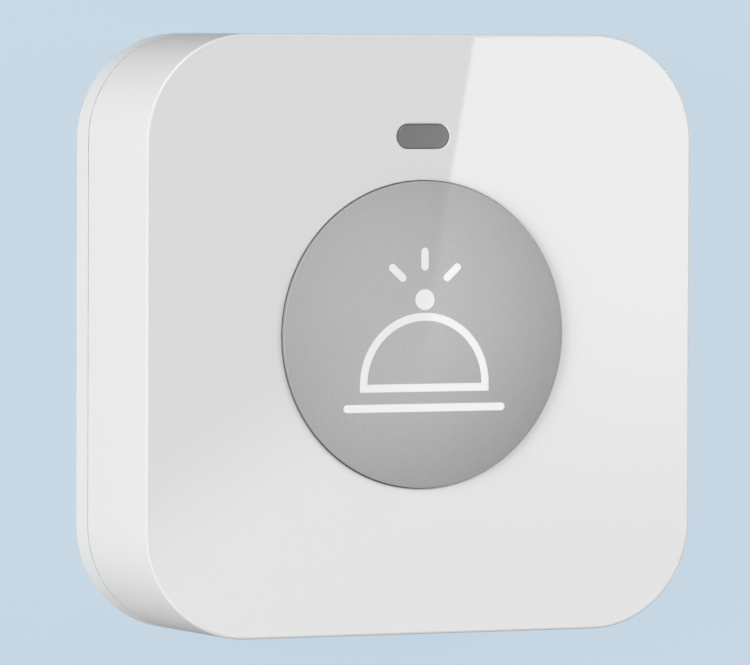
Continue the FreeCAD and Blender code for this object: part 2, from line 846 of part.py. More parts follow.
def make_switch_cover():
    """Pressed steel plate on the switch, with two side laps folded down."""
    body = new_body("switch_cover", z=switch_top - size.switch_cover_wall)
    half = size.switch_width / 2
    wall = size.switch_cover_wall
    drawing = new_sketch(body, "cover_plate")
    draw_rectangle(drawing, -half, -half, half, half)
    pad(body, drawing, wall)
    lap = new_sketch(body, "cover_laps", lift=wall)
    for low, high in ((half, half + wall / 2), (-half - wall / 2, -half)):
        draw_rectangle(lap, -half / 2, low, half / 2, high)
    pad(body, lap, size.switch_cover_lap + wall, reverse=True)
    hole = new_sketch(body, "plunger_hole", lift=wall)
    draw_circle(hole, 0, 0, size.plunger_radius + size.plunger_fit)
    pocket(body, hole, wall + size.overrun)
    return body


def make_switch_terminals():
    """Four bent legs that go from the switch's sides down through the board."""
    body = new_body("switch_terminals", z=board_top)
    near = size.switch_width / 2
    far = near + size.leg_out
    level = size.leg_level
    bottom = -size.board_thickness - size.leg_tail
    wall = size.leg_wall
    drawing = new_sketch(body, "leg_profile", "XZ_Plane", lift=size.leg_pitch / 2)
    draw_polygon(drawing, [
        (near, level), (far - wall, level), (far - wall, bottom), (far, bottom),
        (far, level + wall), (near, level + wall),
    ])
    leg = pad(body, drawing, size.leg_width, middle=True)
    four_of(body, "legs", [leg])
    return body


def make_switch_dome():
    """Four-legged snap disc under the plunger: two bowed strips, crossed."""
    body = new_body("switch_dome", z=board_top + size.switch_floor)
    radius = size.switch_bore - size.dome_fit
    height = dome_height
    wall = size.dome_wall
    flat = size.dome_flat
    for plane in ("XZ_Plane", "YZ_Plane"):
        strip = new_sketch(body, f"dome_{plane}", plane)
        draw_polygon(strip, [
            (-radius, 0), (-flat, height - wall), (flat, height - wall), (radius, 0),
            (radius, wall), (flat, height), (-flat, height), (-radius, wall),
        ])
        pad(body, strip, size.dome_leg_half * 2, middle=True)
    return body


def make_switch_plunger():
    body = new_body("switch_plunger", z=board_top + size.switch_floor + dome_height)
    top = size.switch_height - size.switch_floor - dome_height + size.plunger_proud
    radius = size.plunger_radius
    flange = size.plunger_flange
    height = size.plunger_flange_height
    revolved(body, "plunger_profile", [
        (0, 0), (flange, 0), (flange, height), (radius, height), (radius, top), (0, top),
    ])
    return body


def make_radio_chip():
    """Small transmitter chip; each bar under it makes a leg on both sides."""
    body = new_body("radio_chip", x=board_half - size.radio_inset, y=size.radio_place_y, z=board_top)
    half_x = size.radio_width / 2
    half_y = size.radio_length / 2
    drawing = new_sketch(body, "radio_body", lift=size.radio_lift)
    draw_rectangle(drawing, -half_x, -half_y, half_x, half_y)
    pad(body, drawing, size.radio_height)
    leg = new_sketch(body, "radio_leg")
    reach = half_x + size.radio_leg_out
    first = -size.radio_leg_pitch * (radio_leg_count - 1) / 2
    half = size.radio_leg_width / 2
    draw_rectangle(leg, -reach, first - half, reach, first + half)
    leg_pad = pad(body, leg, size.radio_leg_wall)
    row_of_legs = body.newObject("PartDesign::LinearPattern", "radio_legs")
    row_of_legs.Originals = [leg_pad]
    row_of_legs.Direction = (origin_part(body, "Y_Axis"), [""])
    row_of_legs.Length = number_of(size.radio_leg_pitch) * (radio_leg_count - 1)
    bind(row_of_legs, "Length", size.radio_leg_pitch * (radio_leg_count - 1))
    row_of_legs.Occurrences = radio_leg_count
    finish(body, row_of_legs)
    return body


def make_crystal_can():
    place = cup_radius + size.crystal_gap + size.crystal_width / 2
    body = new_body("crystal_can", x=-place, z=board_top)
    drawing = new_sketch(body, "crystal_outline", turn=90.0)
    half = size.crystal_width / 2
    draw_rounded(drawing, size.crystal_length / 2, half, half, round_side=False)
    pad(body, drawing, size.crystal_height)
    return body


def make_chip_parts():
    """Resistors and capacitors: two short rows of bricks beside the lamp."""
    bricks = []
    for side in (1, -1):
        for index in range(chip_count):
            brick = doc.addObject("Part::Box", f"chip_{len(bricks) + 1}")
            brick.setExpression("Length", size.chip_width.text)
            brick.setExpression("Width", size.chip_length.text)
            brick.setExpression("Height", size.chip_height.text)
            offset = size.chip_row_x + size.chip_pitch * index
            centre = offset * side - size.chip_width / 2
            brick.setExpression("Placement.Base.x", centre.text)
            low = board_half - size.chip_row_inset - size.chip_length / 2
            brick.setExpression("Placement.Base.y", low.text)
            brick.setExpression("Placement.Base.z", board_top.text)
            bricks.append(brick)
    group = doc.addObject("Part::Compound", "chip_parts")
    group.Label = "chip_parts"
    group.Links = bricks
    doc.recompute()
    return group


def make_antenna_loop():
    """Stamped copper arch along the board's lower edge, with its ends through the board."""
    body = new_body("antenna_loop", y=-loop_place, z=board_top)
    half = loop_half
    wall = size.loop_wall
    bend = size.loop_bend
    top = size.loop_height
    bottom = -size.board_thickness - size.loop_tail
    # A closed loop whose lower bends are then cut away
    half_height = (top - bottom + bend) / 2
    loop = new_sketch(body, "loop_outline", "XZ_Plane", y=top - half_height)
    draw_rounded(loop, half, half_height, bend)
    draw_rounded(loop, half - wall, half_height - wall, bend - wall)
    pad(body, loop, size.loop_width, middle=True)
    ends = new_sketch(body, "loop_ends", "XZ_Plane")
    draw_rectangle(ends, -half - size.overrun, bottom - bend - size.overrun,
                   half + size.overrun, bottom)
    pocket(body, ends, size.loop_width + size.overrun, middle=True)
    return body


def make_coin_cell():
    body = new_body("coin_cell", z=cell_bottom)
    radius = size.cell_radius
    cap = size.cell_cap_radius
    shoulder = size.cell_height - size.cell_cap_height
    revolved(body, "cell_profile", [
        (0, 0), (radius, 0), (radius, shoulder), (cap, shoulder), (cap, size.cell_height),
        (0, size.cell_height),
    ])
    return body


def make_cell_holder():
    """Round cradle under the board, open downwards, with a mouth for each contact."""
    body = new_body("cell_holder", z=holder_bottom)
    inner = size.cell_radius + size.holder_fit
    outer = inner + size.holder_wall
    top = board_bottom - holder_bottom
    base = top - size.holder_base
    revolved(body, "holder_profile", [
        (inner, 0), (outer, 0), (outer, top), (0, top), (0, base), (inner, base),
    ])
    mouth = new_sketch(body, "holder_mouth", lift=top)
    half = size.holder_mouth / 2
    near = size.minus_half + size.contact_wall
    draw_rectangle(mouth, near, -half, outer + size.overrun, half)
    draw_rectangle(mouth, -outer - size.overrun, -half, -near, half)
    pocket(body, mouth, top + size.overrun)
    # Window in the base for the switch's legs
    window = new_sketch(body, "holder_window", lift=top)
    half_x = size.switch_width / 2 + size.leg_out + size.holder_window
    half_y = size.leg_pitch / 2 + size.leg_width / 2 + size.holder_window
    draw_rectangle(window, -half_x, -half_y, half_x, half_y)
    pocket(body, window, size.holder_base + size.overrun)
    return body


def make_positive_contact():
    """Bent strip that presses on the cell's side and is soldered under the board."""
    body = new_body("positive_contact")
    near = size.cell_radius + size.plus_fit
    wall = size.contact_wall
    far = near + wall
    tail = far + size.plus_tail
    top = board_bottom
    drawing = new_sketch(body, "plus_profile", "XZ_Plane")
    draw_polygon(drawing, [
        (near, holder_bottom), (far, holder_bottom), (far, top - wall), (tail, top - wall),
        (tail, top), (near, top),
    ])
    pad(body, drawing, size.plus_width, middle=True)
    return body


def make_negative_contact():
    """Sprung strip: a low bow that presses on the cell's cap, and a tail soldered under the board."""
    body = new_body("negative_contact")
    wall = size.contact_wall
    flat = size.minus_flat
    half = size.minus_half
    low = cell_top
    high = board_bottom - size.holder_base
    outer = size.cell_radius + size.holder_fit + size.holder_wall
    tail = outer + size.plus_tail
    drawing = new_sketch(body, "minus_profile", "XZ_Plane")
    draw_polygon(drawing, [
        (half, high - wall), (half, high), (flat, low + wall), (-flat, low + wall),
        (-half, high), (-half - wall - wall, high), (-half - wall - wall, board_bottom),
        (-tail, board_bottom), (-tail, board_bottom - wall),
        (-half - wall - wall - wall, board_bottom - wall), (-half - wall - wall - wall, high - wall),
        (-half, high - wall), (-flat, low), (flat, low),
    ])
    pad(body, drawing, size.minus_width, middle=True)
    return body


def turn_point(radius, angle, height):
    return FreeCAD.Vector(radius * math.cos(angle), radius * math.sin(angle), height)


def arc_from(start, control, end):
    """The arc that leaves start towards control and reaches end, with equal tangents."""
    middle = (start + end) / 2
    along = (control - start).normalize()
    chord = (end - start).normalize()
    lean = math.acos(max(-1, min(1, along.dot(chord))))
    share = math.tan(lean / 2) / math.tan(lean)
    return Part.Arc(start, middle + (control - middle) * share, end)


def biarc(start, start_way, end, end_way):
    """Two arcs that join the points, along the ways given at each end."""
    across = end - start
    ways = start_way + end_way
    square = 2 * (start_way.dot(end_way) - 1)
    linear = -2 * across.dot(ways)
    constant = across.dot(across)
    reach = (-linear - math.sqrt(linear * linear - 4 * square * constant)) / (2 * square)
    first = start + start_way * reach
    second = end - end_way * reach
    joint = (first + second) / 2
    return [arc_from(start, first, joint), arc_from(joint, second, end)]


def make_return_spring():
    """Open coil between the well's floor and the cap, as one tube along quarter-turn biarcs."""
    radius = size.spring_radius.number
    wire = size.spring_wire.number / 2
    turns = size.spring_turns.number
    rise = cap_inside.number - well_top.number - 2 * wire
    quarters = round(turns * 4)
    step = turns * 2 * math.pi / quarters
    lift = rise / quarters
    points = [turn_point(radius, step * index, wire + lift * index) for index in range(quarters + 1)]
    slope = lift / step
    ways = [FreeCAD.Vector(-math.sin(step * index) * radius, math.cos(step * index) * radius, slope)
            for index in range(quarters + 1)]
    for way in ways:
        way.normalize()
    arcs = []
    for index in range(quarters):
        arcs += biarc(points[index], ways[index], points[index + 1], ways[index + 1])
    path = Part.Wire([arc.toShape() for arc in arcs])
    section = Part.Wire(Part.makePolygon(wire_corners(points[0], ways[0], wire)).Edges)
    tube = path.makePipeShell([section], True, False)
    area = Part.Face(section).Area
    print("spring self gap", least_self_gap(path, 2 * wire, math.pi * radius))
    print("spring volume against section times length", tube.Volume / (area * path.Length))
    spring = doc.addObject("Part::Feature", "button_return_spring")
    spring.Label = "button_return_spring"
    spring.Shape = tube
    spring.Placement.Base = FreeCAD.Vector(0, 0, well_top.number)
    return spring


def wire_corners(centre, way, radius):
    """Corners of the faceted wire's section, square to its way, first and last alike."""
    out = FreeCAD.Vector(centre.x, centre.y, 0).normalize()
    across = way.cross(out)
    turn = 2 * math.pi / spring_side_count
    return [centre + out * (radius * math.cos(turn * index)) + across * (radius * math.sin(turn * index))
            for index in range(spring_side_count + 1)]


def least_self_gap(path, thickness, apart):
    """Least distance between points of a path that lie further apart along it than given, less the wire."""
    count = 400
    points = path.discretize(Number=count)
    skip = math.ceil(apart / (path.Length / count))
    gaps = [points[first].distanceToPoint(points[second])
            for first in range(count) for second in range(first + skip, count)]
    return min(gaps) - thickness


makers = [
    make_front_cover, make_rear_cover, make_cover_screws, make_rubber_feet,
    make_battery_door, make_door_seal, make_button_cap, make_return_spring, make_light_window,
    make_indicator_led, make_led_leads, make_circuit_board, make_board_screws, make_switch_base,
    make_switch_cover, make_switch_terminals, make_switch_dome, make_switch_plunger,
    make_radio_chip, make_crystal_can, make_chip_parts, make_antenna_loop, make_coin_cell,
    make_cell_holder, make_positive_contact, make_negative_contact,
]
pieces = [make() for make in makers]
doc.recompute()

for item in doc.Objects:
    if "Invalid" in item.State or "Error" in item.State:
        raise RuntimeError(f"{item.Label} is in state {item.State}")
for piece in pieces:
    if piece.Shape.isNull() or not piece.Shape.isValid():
        raise RuntimeError(f"{piece.Label} has no valid shape")

os.makedirs("parts", exist_ok=True)
for piece in pieces:
    piece.Shape.exportStep(f"parts/{piece.Label}.step")
    print(piece.Label, len(piece.Shape.Solids), "solids", round(piece.Shape.Volume, 2), "mm3")
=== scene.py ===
import math

import bpy
import numpy as np
from mathutils import Matrix, Vector
from numpy.linalg import norm


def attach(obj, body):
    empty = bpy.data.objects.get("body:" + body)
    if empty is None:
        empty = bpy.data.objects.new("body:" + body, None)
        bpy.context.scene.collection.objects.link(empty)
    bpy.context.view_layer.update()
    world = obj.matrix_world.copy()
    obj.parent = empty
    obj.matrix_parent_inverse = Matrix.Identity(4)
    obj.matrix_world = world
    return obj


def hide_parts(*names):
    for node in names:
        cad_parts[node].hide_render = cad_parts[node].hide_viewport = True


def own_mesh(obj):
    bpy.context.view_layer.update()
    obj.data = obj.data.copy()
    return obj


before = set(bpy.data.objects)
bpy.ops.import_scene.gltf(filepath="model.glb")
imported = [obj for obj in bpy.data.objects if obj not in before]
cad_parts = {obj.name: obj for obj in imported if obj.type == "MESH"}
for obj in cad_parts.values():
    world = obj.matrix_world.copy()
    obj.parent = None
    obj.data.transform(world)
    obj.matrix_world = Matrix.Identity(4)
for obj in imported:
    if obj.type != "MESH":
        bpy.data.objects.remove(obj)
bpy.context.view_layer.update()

# Table-top call button, lying on its feet with the face up. The dictionaries give millimetres,
# degrees and shares; the meshes are in metres. +Y runs from the button to the indicator window.
mm = 0.001
for leftover in [thing for thing in bpy.data.objects if thing.type in {"LIGHT", "CAMERA"}]:
    bpy.data.objects.remove(leftover)

# Roundings that several pieces share, how far a joined part sinks into what carries it, how far a
# cutter reaches past the surface, and the turns of parts and the signs of places all round the middle
hair, fine, small, soft, broad, wide, root = 0.08, 0.1, 0.15, 0.2, 0.25, 0.3, 0.4
sink, through = 0.3, 1.0
halves, thirds = (0, 180), (0, 120, 240)
signs = [(sx, sy) for sx in (1, -1) for sy in (1, -1)]


# Shapes: every part is a pair of vertices and face arrays, joined into one mesh per piece

def roundedProfile(corners, closed=False, arcStep=7.5, close=0.06):
    # Walks corners of (across, level, rounding, kind); a corner may leave out the kind "side", and
    # the rounding where it is sharp. A rounded corner becomes an arc that touches both sides: its
    # points are blends of the first and last radius, weighted by the sines of the angles left and
    # gone. A close point before and after it keeps flats flat under smooth shading.
    points, kinds = [], []
    for index, (across, level, *more) in enumerate(corners):
        rounding, kind = more[0] if more else 0, more[1] if len(more) > 1 else "side"
        here = np.array([across, level], float)
        if not rounding or (not closed and index in (0, len(corners) - 1)):
            block = here[None]
        else:
            before = np.array(corners[index - 1][:2], float) - here
            after = np.array(corners[(index + 1) % len(corners)][:2], float) - here
            spare = [norm(before), norm(after)]
            before, after = before / spare[0], after / spare[1]
            half = math.acos(float(np.clip(before @ after, -1, 1))) / 2
            reach = rounding / math.tan(half)
            middle = (before + after) / norm(before + after)
            centre = here + middle * rounding / math.sin(half)
            turn = math.pi - 2 * half
            steps = max(2, math.ceil(math.degrees(turn) / arcStep))
            share = np.linspace(0, 1, steps + 1)[:, None]
            first, last = here + before * reach - centre, here + after * reach - centre
            arc = first * np.sin((1 - share) * turn) + last * np.sin(share * turn)
            arc = centre + arc / math.sin(turn)
            lead = here + before * (reach + min(close, 0.2 * (spare[0] - reach)))
            trail = here + after * (reach + min(close, 0.2 * (spare[1] - reach)))
            block = np.vstack([lead, arc, trail])
        points.append(block)
        kinds += [kind] * len(block)
    return np.vstack(points), np.array(kinds)


def squareOutline(half, corner, sideSteps=64, arcSteps=24):
    # Columns round a square with round corners: each has a base point and an outward direction, so
    # that a ring of any half width is base + direction x (half width - base's own distance).
    inner = half - corner
    sideTurn = np.linspace(-1, 1, sideSteps + 1)[:-1] * math.atan2(inner, half)
    side = half * np.tan(sideTurn)
    arc = np.linspace(0, math.pi / 2, arcSteps + 1)[:-1]
    straight = np.column_stack([np.full(sideSteps, inner), side])
    base = np.vstack([straight, np.full((arcSteps, 2), inner)])
    way = np.vstack([np.tile([1.0, 0.0], (sideSteps, 1)), np.column_stack([np.cos(arc), np.sin(arc)])])
    quarters = [np.array([[c, s], [-s, c]]) for c, s in ((1, 0), (0, 1), (-1, 0), (0, -1))]
    base = np.vstack([base @ q for q in quarters])
    way = np.vstack([way @ q for q in quarters])
    ring = base + way * corner
    polar = ring / norm(ring, axis=1)[:, None]
    return {"base": base, "way": way, "inner": inner, "polar": polar}


def oblongOutline(length, radius, arcSteps=28, sideSteps=6):
    # Columns round an oblong of two half circles joined by straight sides, as base and direction.
    reach = length / 2 - radius
    arc = np.linspace(-math.pi / 2, math.pi / 2, arcSteps + 1)[:-1]
    side = np.linspace(reach, -reach, sideSteps + 1)[:-1]
    straight = np.column_stack([side, np.zeros(sideSteps)])
    base = np.vstack([np.tile([reach, 0.0], (arcSteps, 1)), straight])
    way = np.vstack([np.column_stack([np.cos(arc), np.sin(arc)]), np.tile([0.0, 1.0], (sideSteps, 1))])
    base, way = np.vstack([base, -base]), np.vstack([way, -way])
    return {"base": base, "way": way, "inner": 0.0, "polar": way}


def roundOutline(columns):
    # Columns round a circle: the base is the centre and the direction turns once.
    turn = np.linspace(0, 2 * math.pi, columns, endpoint=False)
    way = np.column_stack([np.cos(turn), np.sin(turn)])
    return {"base": np.zeros_like(way), "way": way, "inner": 0.0, "polar": way}


def gridPart(points, loop=False, poles=False):
    # points[row, column] closes round its columns. The rows loop back to the first, or the first and
    # the last row each shrink to a point, a pole, or close with a flat cap. Faces point outwards.
    rows, columns = points.shape[:2]
    index = np.arange(rows * columns).reshape(rows, columns)
    if poles:
        index[0], index[-1] = index[0, 0], index[-1, 0]
    here = index if loop else index[:-1]
    there = np.roll(index, -1, axis=0) if loop else index[1:]
    quads = np.stack([here, np.roll(here, -1, 1), np.roll(there, -1, 1), there], -1)
    faces = [(quads[1:-1] if poles else quads).reshape(-1, 4)]
    if poles:
        faces = [quads[0][:, [0, 2, 3]], quads[-1][:, [0, 1, 2]], *faces]
    elif not loop:
        faces += [index[0][::-1][None], index[-1][None]]
    used = np.unique(np.concatenate([block.ravel() for block in faces]))
    return outward(points.reshape(-1, 3)[used], [np.searchsorted(used, block) for block in faces])


def outward(vertices, faces):
    # The volume enclosed is the sum of the tetrahedra from the middle to each face's triangles; where
    # it comes out negative, every face is reversed.
    middle = vertices.mean(axis=0)
    volume = 0.0
    for block in faces:
        corner = vertices[block] - middle
        for step in range(1, block.shape[1] - 1):
            volume += np.sum(corner[:, 0] * np.cross(corner[:, step], corner[:, step + 1]))
    if volume < 0:
        faces = [block[:, ::-1] for block in faces]
    return vertices, faces


def loftPart(outline, corners, closed=False, poles=False, arcStep=7.5, x=0.0, y=0.0):
    # Carries a section round an outline. A "side" ring keeps the outline's form at its half width and
    # a "round" ring is a circle of that radius.
    section, kinds = roundedProfile(corners, closed, arcStep)
    across = section[:, 0][:, None, None]
    sideRings = outline["base"] + outline["way"] * (across - outline["inner"])
    ring = np.where((kinds == "round")[:, None, None], outline["polar"] * across, sideRings)
    level = np.broadcast_to(section[:, 1][:, None, None], ring.shape[:2] + (1,))
    return gridPart(np.concatenate([ring + [x, y], level], axis=2), closed, poles)


def lathePart(corners, columns, closed=False, x=0.0, y=0.0):
    # Turns a section of (radius, level, rounding) about an upright axis at x, y.
    return loftPart(roundOutline(columns), corners, closed, not closed, x=x, y=y)


def turnPart(part, degrees):
    # The same part turned about the upright axis.
    vertices, faces = part
    c, s = math.cos(math.radians(degrees)), math.sin(math.radians(degrees))
    return vertices @ np.array([[c, s, 0], [-s, c, 0], [0, 0, 1]]), faces


def blockPart(low, high):
    # A straight-sided block between two corners.
    share = np.array([[0, 0], [1, 0], [1, 1], [0, 1]], float)
    foot = np.array(low[:2]) + share * (np.array(high[:2]) - np.array(low[:2]))
    rings = np.stack([np.column_stack([foot, np.full(4, level)]) for level in (low[2], high[2])])
    return gridPart(rings)


def prismPart(outline, half):
    # An outline of (radial, level) points, carried from -half to half across the radial direction.
    points = np.array(outline, float)
    rings = np.stack([np.column_stack([np.full(len(points), place), points]) for place in (-half, half)])
    return gridPart(rings)


def newObject(name, data):
    thing = bpy.data.objects.new(name, data)
    bpy.context.scene.collection.objects.link(thing)
    return thing


def meshOf(name, parts):
    # One mesh of all the parts, in metres.
    vertices = np.concatenate([part[0] for part in parts]) * mm
    faces, start = [], 0
    for part in parts:
        for block in part[1]:
            faces += (block + start).tolist()
        start += len(part[0])
    mesh = bpy.data.meshes.new(name)
    mesh.from_pydata(vertices.tolist(), [], faces)
    mesh.update()
    return mesh


def carve(piece, parts, operation="DIFFERENCE"):
    # Cuts the parts out of the piece or joins them to it, and keeps the result as the piece's mesh.
    tool = newObject("tool", meshOf("tool", parts))
    modifier = piece.modifiers.new("carve", "BOOLEAN")
    modifier.operation, modifier.solver, modifier.object = operation, "EXACT", tool
    shaped = piece.evaluated_get(bpy.context.evaluated_depsgraph_get())
    mesh = bpy.data.meshes.new_from_object(shaped)
    piece.modifiers.clear()
    piece.data = mesh
    bpy.data.objects.remove(tool)


def join(piece, part, turns=(0,)):
    # Joins the part to the piece once at every turn about the upright axis.
    for turn in turns:
        carve(piece, [turnPart(part, turn)], "UNION")


def makePiece(name, parts, body, replaced=()):
    # A piece of the parts that rides on a body and stands for the CAD nodes it replaces.
    piece = newObject(name, meshOf(name, parts))
    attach(piece, body)
    if replaced:
        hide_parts(*replaced)
    return piece


def paint(thing, material):
    thing.data.materials.clear()
    thing.data.materials.append(material)


def dress(piece, material, sharpAngle=35.0):
    # Smooth shading, broken where two faces meet at more than the angle given.
    paint(piece, material)
    piece.data.shade_smooth()
    piece.data.set_sharp_from_angle(angle=math.radians(sharpAngle))
    print("piece", piece.name, len(piece.data.polygons), "faces")


# Effects shared by the materials. A texture is its repeats per metre, detail and roughness.
textures = {
    "spark": (5200, 3, 0.6), "broad": (48, 3, 0.5), "smear": (180, 4, 0.6), "flakes": 9000,
    "swell": (900, 2, 0.5), "streak": (1, 3, 0.6), "cloud": (260, 3, 0.5),
}
effects = {"patchLimit": 0.5, "patchBlend": 0.2, "filmGloss": 0.6, "flakeGloss": 0.06, "streakGloss": 0.15,
           "lacquerEdge": 20000.0}


def colour(value):
    # A single number is a grey.
    return (*value, 1) if isinstance(value, tuple) else (value, value, value, 1)


def newGroup(name, **inputs):
    # A group with the inputs listed under each kind, and with a colour, a roughness and a height for
    # its outputs. Also gives the place on the object that is shaded.
    group = bpy.data.node_groups.new(name, "ShaderNodeTree")
    sockets = [(label, "INPUT", kind) for kind, labels in inputs.items() for label in labels.split()]
    sockets += [("Color", "OUTPUT", "Color"), ("Roughness", "OUTPUT", "Float"), ("Height", "OUTPUT", "Float")]
    for label, side, kind in sockets:
        group.interface.new_socket(name=label, in_out=side, socket_type="NodeSocket" + kind)
    given, result = (group.nodes.new("NodeGroup" + side) for side in ("Input", "Output"))
    return group, given.outputs, result.inputs, objectPlace(group)


def addNode(tree, kind, **settings):
    node = tree.nodes.new("ShaderNode" + kind)
    for key, value in settings.items():
        setattr(node, key, value)
    return node


def objectPlace(tree):
    return addNode(tree, "TexCoord").outputs["Object"]


def connect(tree, *pairs):
    for source, target in pairs:
        tree.links.new(source, target)


def mathNode(tree, operation, *values):
    # A Math node whose inputs are sockets or numbers.
    node = addNode(tree, "Math", operation=operation)
    for socket, value in zip(node.inputs, values):
        if isinstance(value, bpy.types.NodeSocket):
            tree.links.new(value, socket)
        else:
            socket.default_value = value
    return node.outputs[0]


def noiseNode(tree, vector, texture):
    node = addNode(tree, "TexNoise")
    tree.links.new(vector, node.inputs["Vector"])
    for label, value in zip(("Scale", "Detail", "Roughness"), textures[texture]):
        node.inputs[label].default_value = value
    return node.outputs["Fac"]


def tintNode(tree, tint, lift):
    # The tint made brighter or darker by the lift.
    node = addNode(tree, "VectorMath", operation="SCALE")
    connect(tree, (tint, node.inputs[0]), (lift, node.inputs["Scale"]))
    return node.outputs[0]


def ramp(tree, value, span, levels):
    # Runs smoothly from one level to the other while the value crosses the span.
    node = addNode(tree, "MapRange", interpolation_type="SMOOTHSTEP")
    tree.links.new(value, node.inputs["Value"])
    for label, number in zip(("From Min", "From Max", "To Min", "To Max"), (*span, *levels)):
        node.inputs[label].default_value = number
    return node.outputs[0]


def mouldedGroup():
    # Moulded plastic: a fine spark-eroded grain for the height, a broad slow swirl of gloss left by
    # the mould, and a thin film of dust and finger marks that lifts the roughness in patches.
    group, given, result, place = newGroup("mouldedPlastic", Float="Grain Gloss Marks", Color="Tint Dust")
    smears = mathNode(group, "MULTIPLY", noiseNode(group, place, "broad"), noiseNode(group, place, "smear"))
    patch = mathNode(group, "SMOOTH_MIN", smears, effects["patchLimit"], effects["patchBlend"])
    film = mathNode(group, "MULTIPLY", patch, given["Marks"])
    gloss = mathNode(group, "MULTIPLY_ADD", film, effects["filmGloss"], given["Gloss"])
    grain = mathNode(group, "MULTIPLY", noiseNode(group, place, "spark"), given["Grain"])
    mix = addNode(group, "Mix", data_type="RGBA")
    connect(
        group,
        (film, mix.inputs["Factor"]), (given["Tint"], mix.inputs[6]), (given["Dust"], mix.inputs[7]),
        *zip((mix.outputs[2], gloss, grain), result),
    )
    return group


def lacquerGroup():
    # Silver lacquer: tiny flakes that each tip the light a little, over a soft orange-peel swell. The
    # tint carries painted shade: it is lightest at a middle set off towards -X and +Y, where the key lamp
    # shines from, and darkens with the square of the distance from it. The lacquer ends at the top's
    # edge: below that level the tint is darker, for the bare plastic and as painted shade for the dark
    # line round the cap's rim.
    group, given, result, place = newGroup(
        "silverLacquer", Float="Flake Gloss Fade Radius Edge Bare", Color="Tint", Vector="Middle",
    )
    cells = addNode(group, "TexVoronoi", feature="F1")
    cells.inputs["Scale"].default_value = textures["flakes"]
    flake, height = addNode(group, "SeparateColor"), addNode(group, "SeparateXYZ")
    flat = addNode(group, "VectorMath", operation="MULTIPLY")
    flat.inputs[1].default_value = (1, 1, 0)
    away = addNode(group, "VectorMath", operation="DISTANCE")
    connect(
        group,
        (place, cells.inputs["Vector"]), (cells.outputs["Color"], flake.inputs[0]),
        (place, flat.inputs[0]), (flat.outputs[0], away.inputs[0]),
        (given["Middle"], away.inputs[1]), (place, height.inputs[0]),
    )
    tipped = mathNode(group, "SUBTRACT", flake.outputs[0], 0.5)
    tipped = mathNode(group, "MULTIPLY_ADD", tipped, given["Flake"], 1.0)
    # Painted shade: the tint darkens with the square of the distance from the lit middle
    share = mathNode(group, "DIVIDE", away.outputs["Value"], given["Radius"])
    square = mathNode(group, "MULTIPLY", share, share)
    shadeFade = mathNode(group, "MULTIPLY", square, given["Fade"])
    # Below the lacquer's edge the tint is darker: bare plastic, and painted shade for the dark line round the
    # cap's rim
    over = mathNode(group, "SUBTRACT", height.outputs["Z"], given["Edge"])
    over = mathNode(group, "MULTIPLY", over, effects["lacquerEdge"])
    over.node.use_clamp = True
    loss = mathNode(group, "SUBTRACT", 1.0, given["Bare"])
    bareShade = mathNode(group, "MULTIPLY", mathNode(group, "SUBTRACT", 1.0, over), loss)
    lift = mathNode(group, "SUBTRACT", mathNode(group, "SUBTRACT", tipped, shadeFade), bareShade)
    gloss = mathNode(group, "MULTIPLY_ADD", flake.outputs[1], effects["flakeGloss"], given["Gloss"])
    tint, swell = tintNode(group, given["Tint"], lift), noiseNode(group, place, "swell")
    connect(group, *zip((tint, gloss, swell), result))
    return group


def metalGroup():
    # Drawn or rolled metal: stretched streaks for the height and a slightly uneven brightness.
    group, given, result, place = newGroup(
        "rolledMetal", Float="Gloss Uneven", Color="Tint", Vector="Stretch",
    )
    stretch = addNode(group, "VectorMath", operation="MULTIPLY")
    connect(group, (place, stretch.inputs[0]), (given["Stretch"], stretch.inputs[1]))
    streak = noiseNode(group, stretch.outputs[0], "streak")
    lift = mathNode(group, "SUBTRACT", noiseNode(group, place, "cloud"), 0.5)
    lift = mathNode(group, "MULTIPLY_ADD", lift, given["Uneven"], 1.0)
    gloss = mathNode(group, "MULTIPLY_ADD", streak, effects["streakGloss"], given["Gloss"])
    connect(group, *zip((tintNode(group, given["Tint"], lift), gloss, streak), result))
    return group


moulded, lacquer, rolled = mouldedGroup(), lacquerGroup(), metalGroup()


def newMaterial(name, group, values, bump=(0.1, 0.02), **sockets):
    # A Principled surface whose colour, roughness and bump come from the group. The bump is its
    # strength and its depth in millimetres.
    material = bpy.data.materials.new(name)
    material.use_nodes = True
    tree = material.node_tree
    shader = tree.nodes["Principled BSDF"]
    effect = addNode(tree, "Group", node_tree=group)
    for label, value in values.items():
        effect.inputs[label].default_value = colour(value) if label in ("Tint", "Dust") else value
    for label, value in sockets.items():
        shader.inputs[label].default_value = value
    relief = addNode(tree, "Bump")
    relief.inputs["Strength"].default_value = bump[0]
    relief.inputs["Distance"].default_value = bump[1] * mm
    connect(
        tree,
        (effect.outputs["Color"], shader.inputs["Base Color"]),
        (effect.outputs["Roughness"], shader.inputs["Roughness"]),
        (effect.outputs["Height"], relief.inputs["Height"]),
        (relief.outputs["Normal"], shader.inputs["Normal"]),
    )
    return material


# Plastics and rubbers: name, tint, dust, grain, gloss, marks, bump
plastics = {
    "housing": ("housingWhite", 0.86, 0.74, 0.5, 0.3, 0.08, (0.05, 0.01)),
    "rear": ("rearWhite", 0.87, 0.6, 1.0, 0.38, 0.18, (0.25, 0.02)),
    "print": ("printWhite", 0.97, 0.85, 0.6, 0.35, 0.1, (0.1, 0.02)),
    "window": ("windowSmoke", 0.19, 0.4, 0.3, 0.12, 0.05, (0.03, 0.01)),
    "rubber": ("footRubber", 0.05, 0.3, 1.0, 0.7, 0.5, (0.4, 0.03)),
    "seal": ("sealSilicone", 0.3, 0.5, 0.6, 0.45, 0.3, (0.1, 0.02)),
    "lamp": ("lampClear", (0.8, 0.816, 0.832), 0.9, 0.1, 0.08, 0.05, (0.1, 0.02)),
    "board": ("boardGreen", (0.02, 0.12, 0.05), (0.2, 0.3, 0.2), 0.8, 0.3, 0.2, (0.15, 0.03)),
    "black": ("partBlack", 0.025, 0.2, 1.0, 0.5, 0.2, (0.25, 0.02)),
}
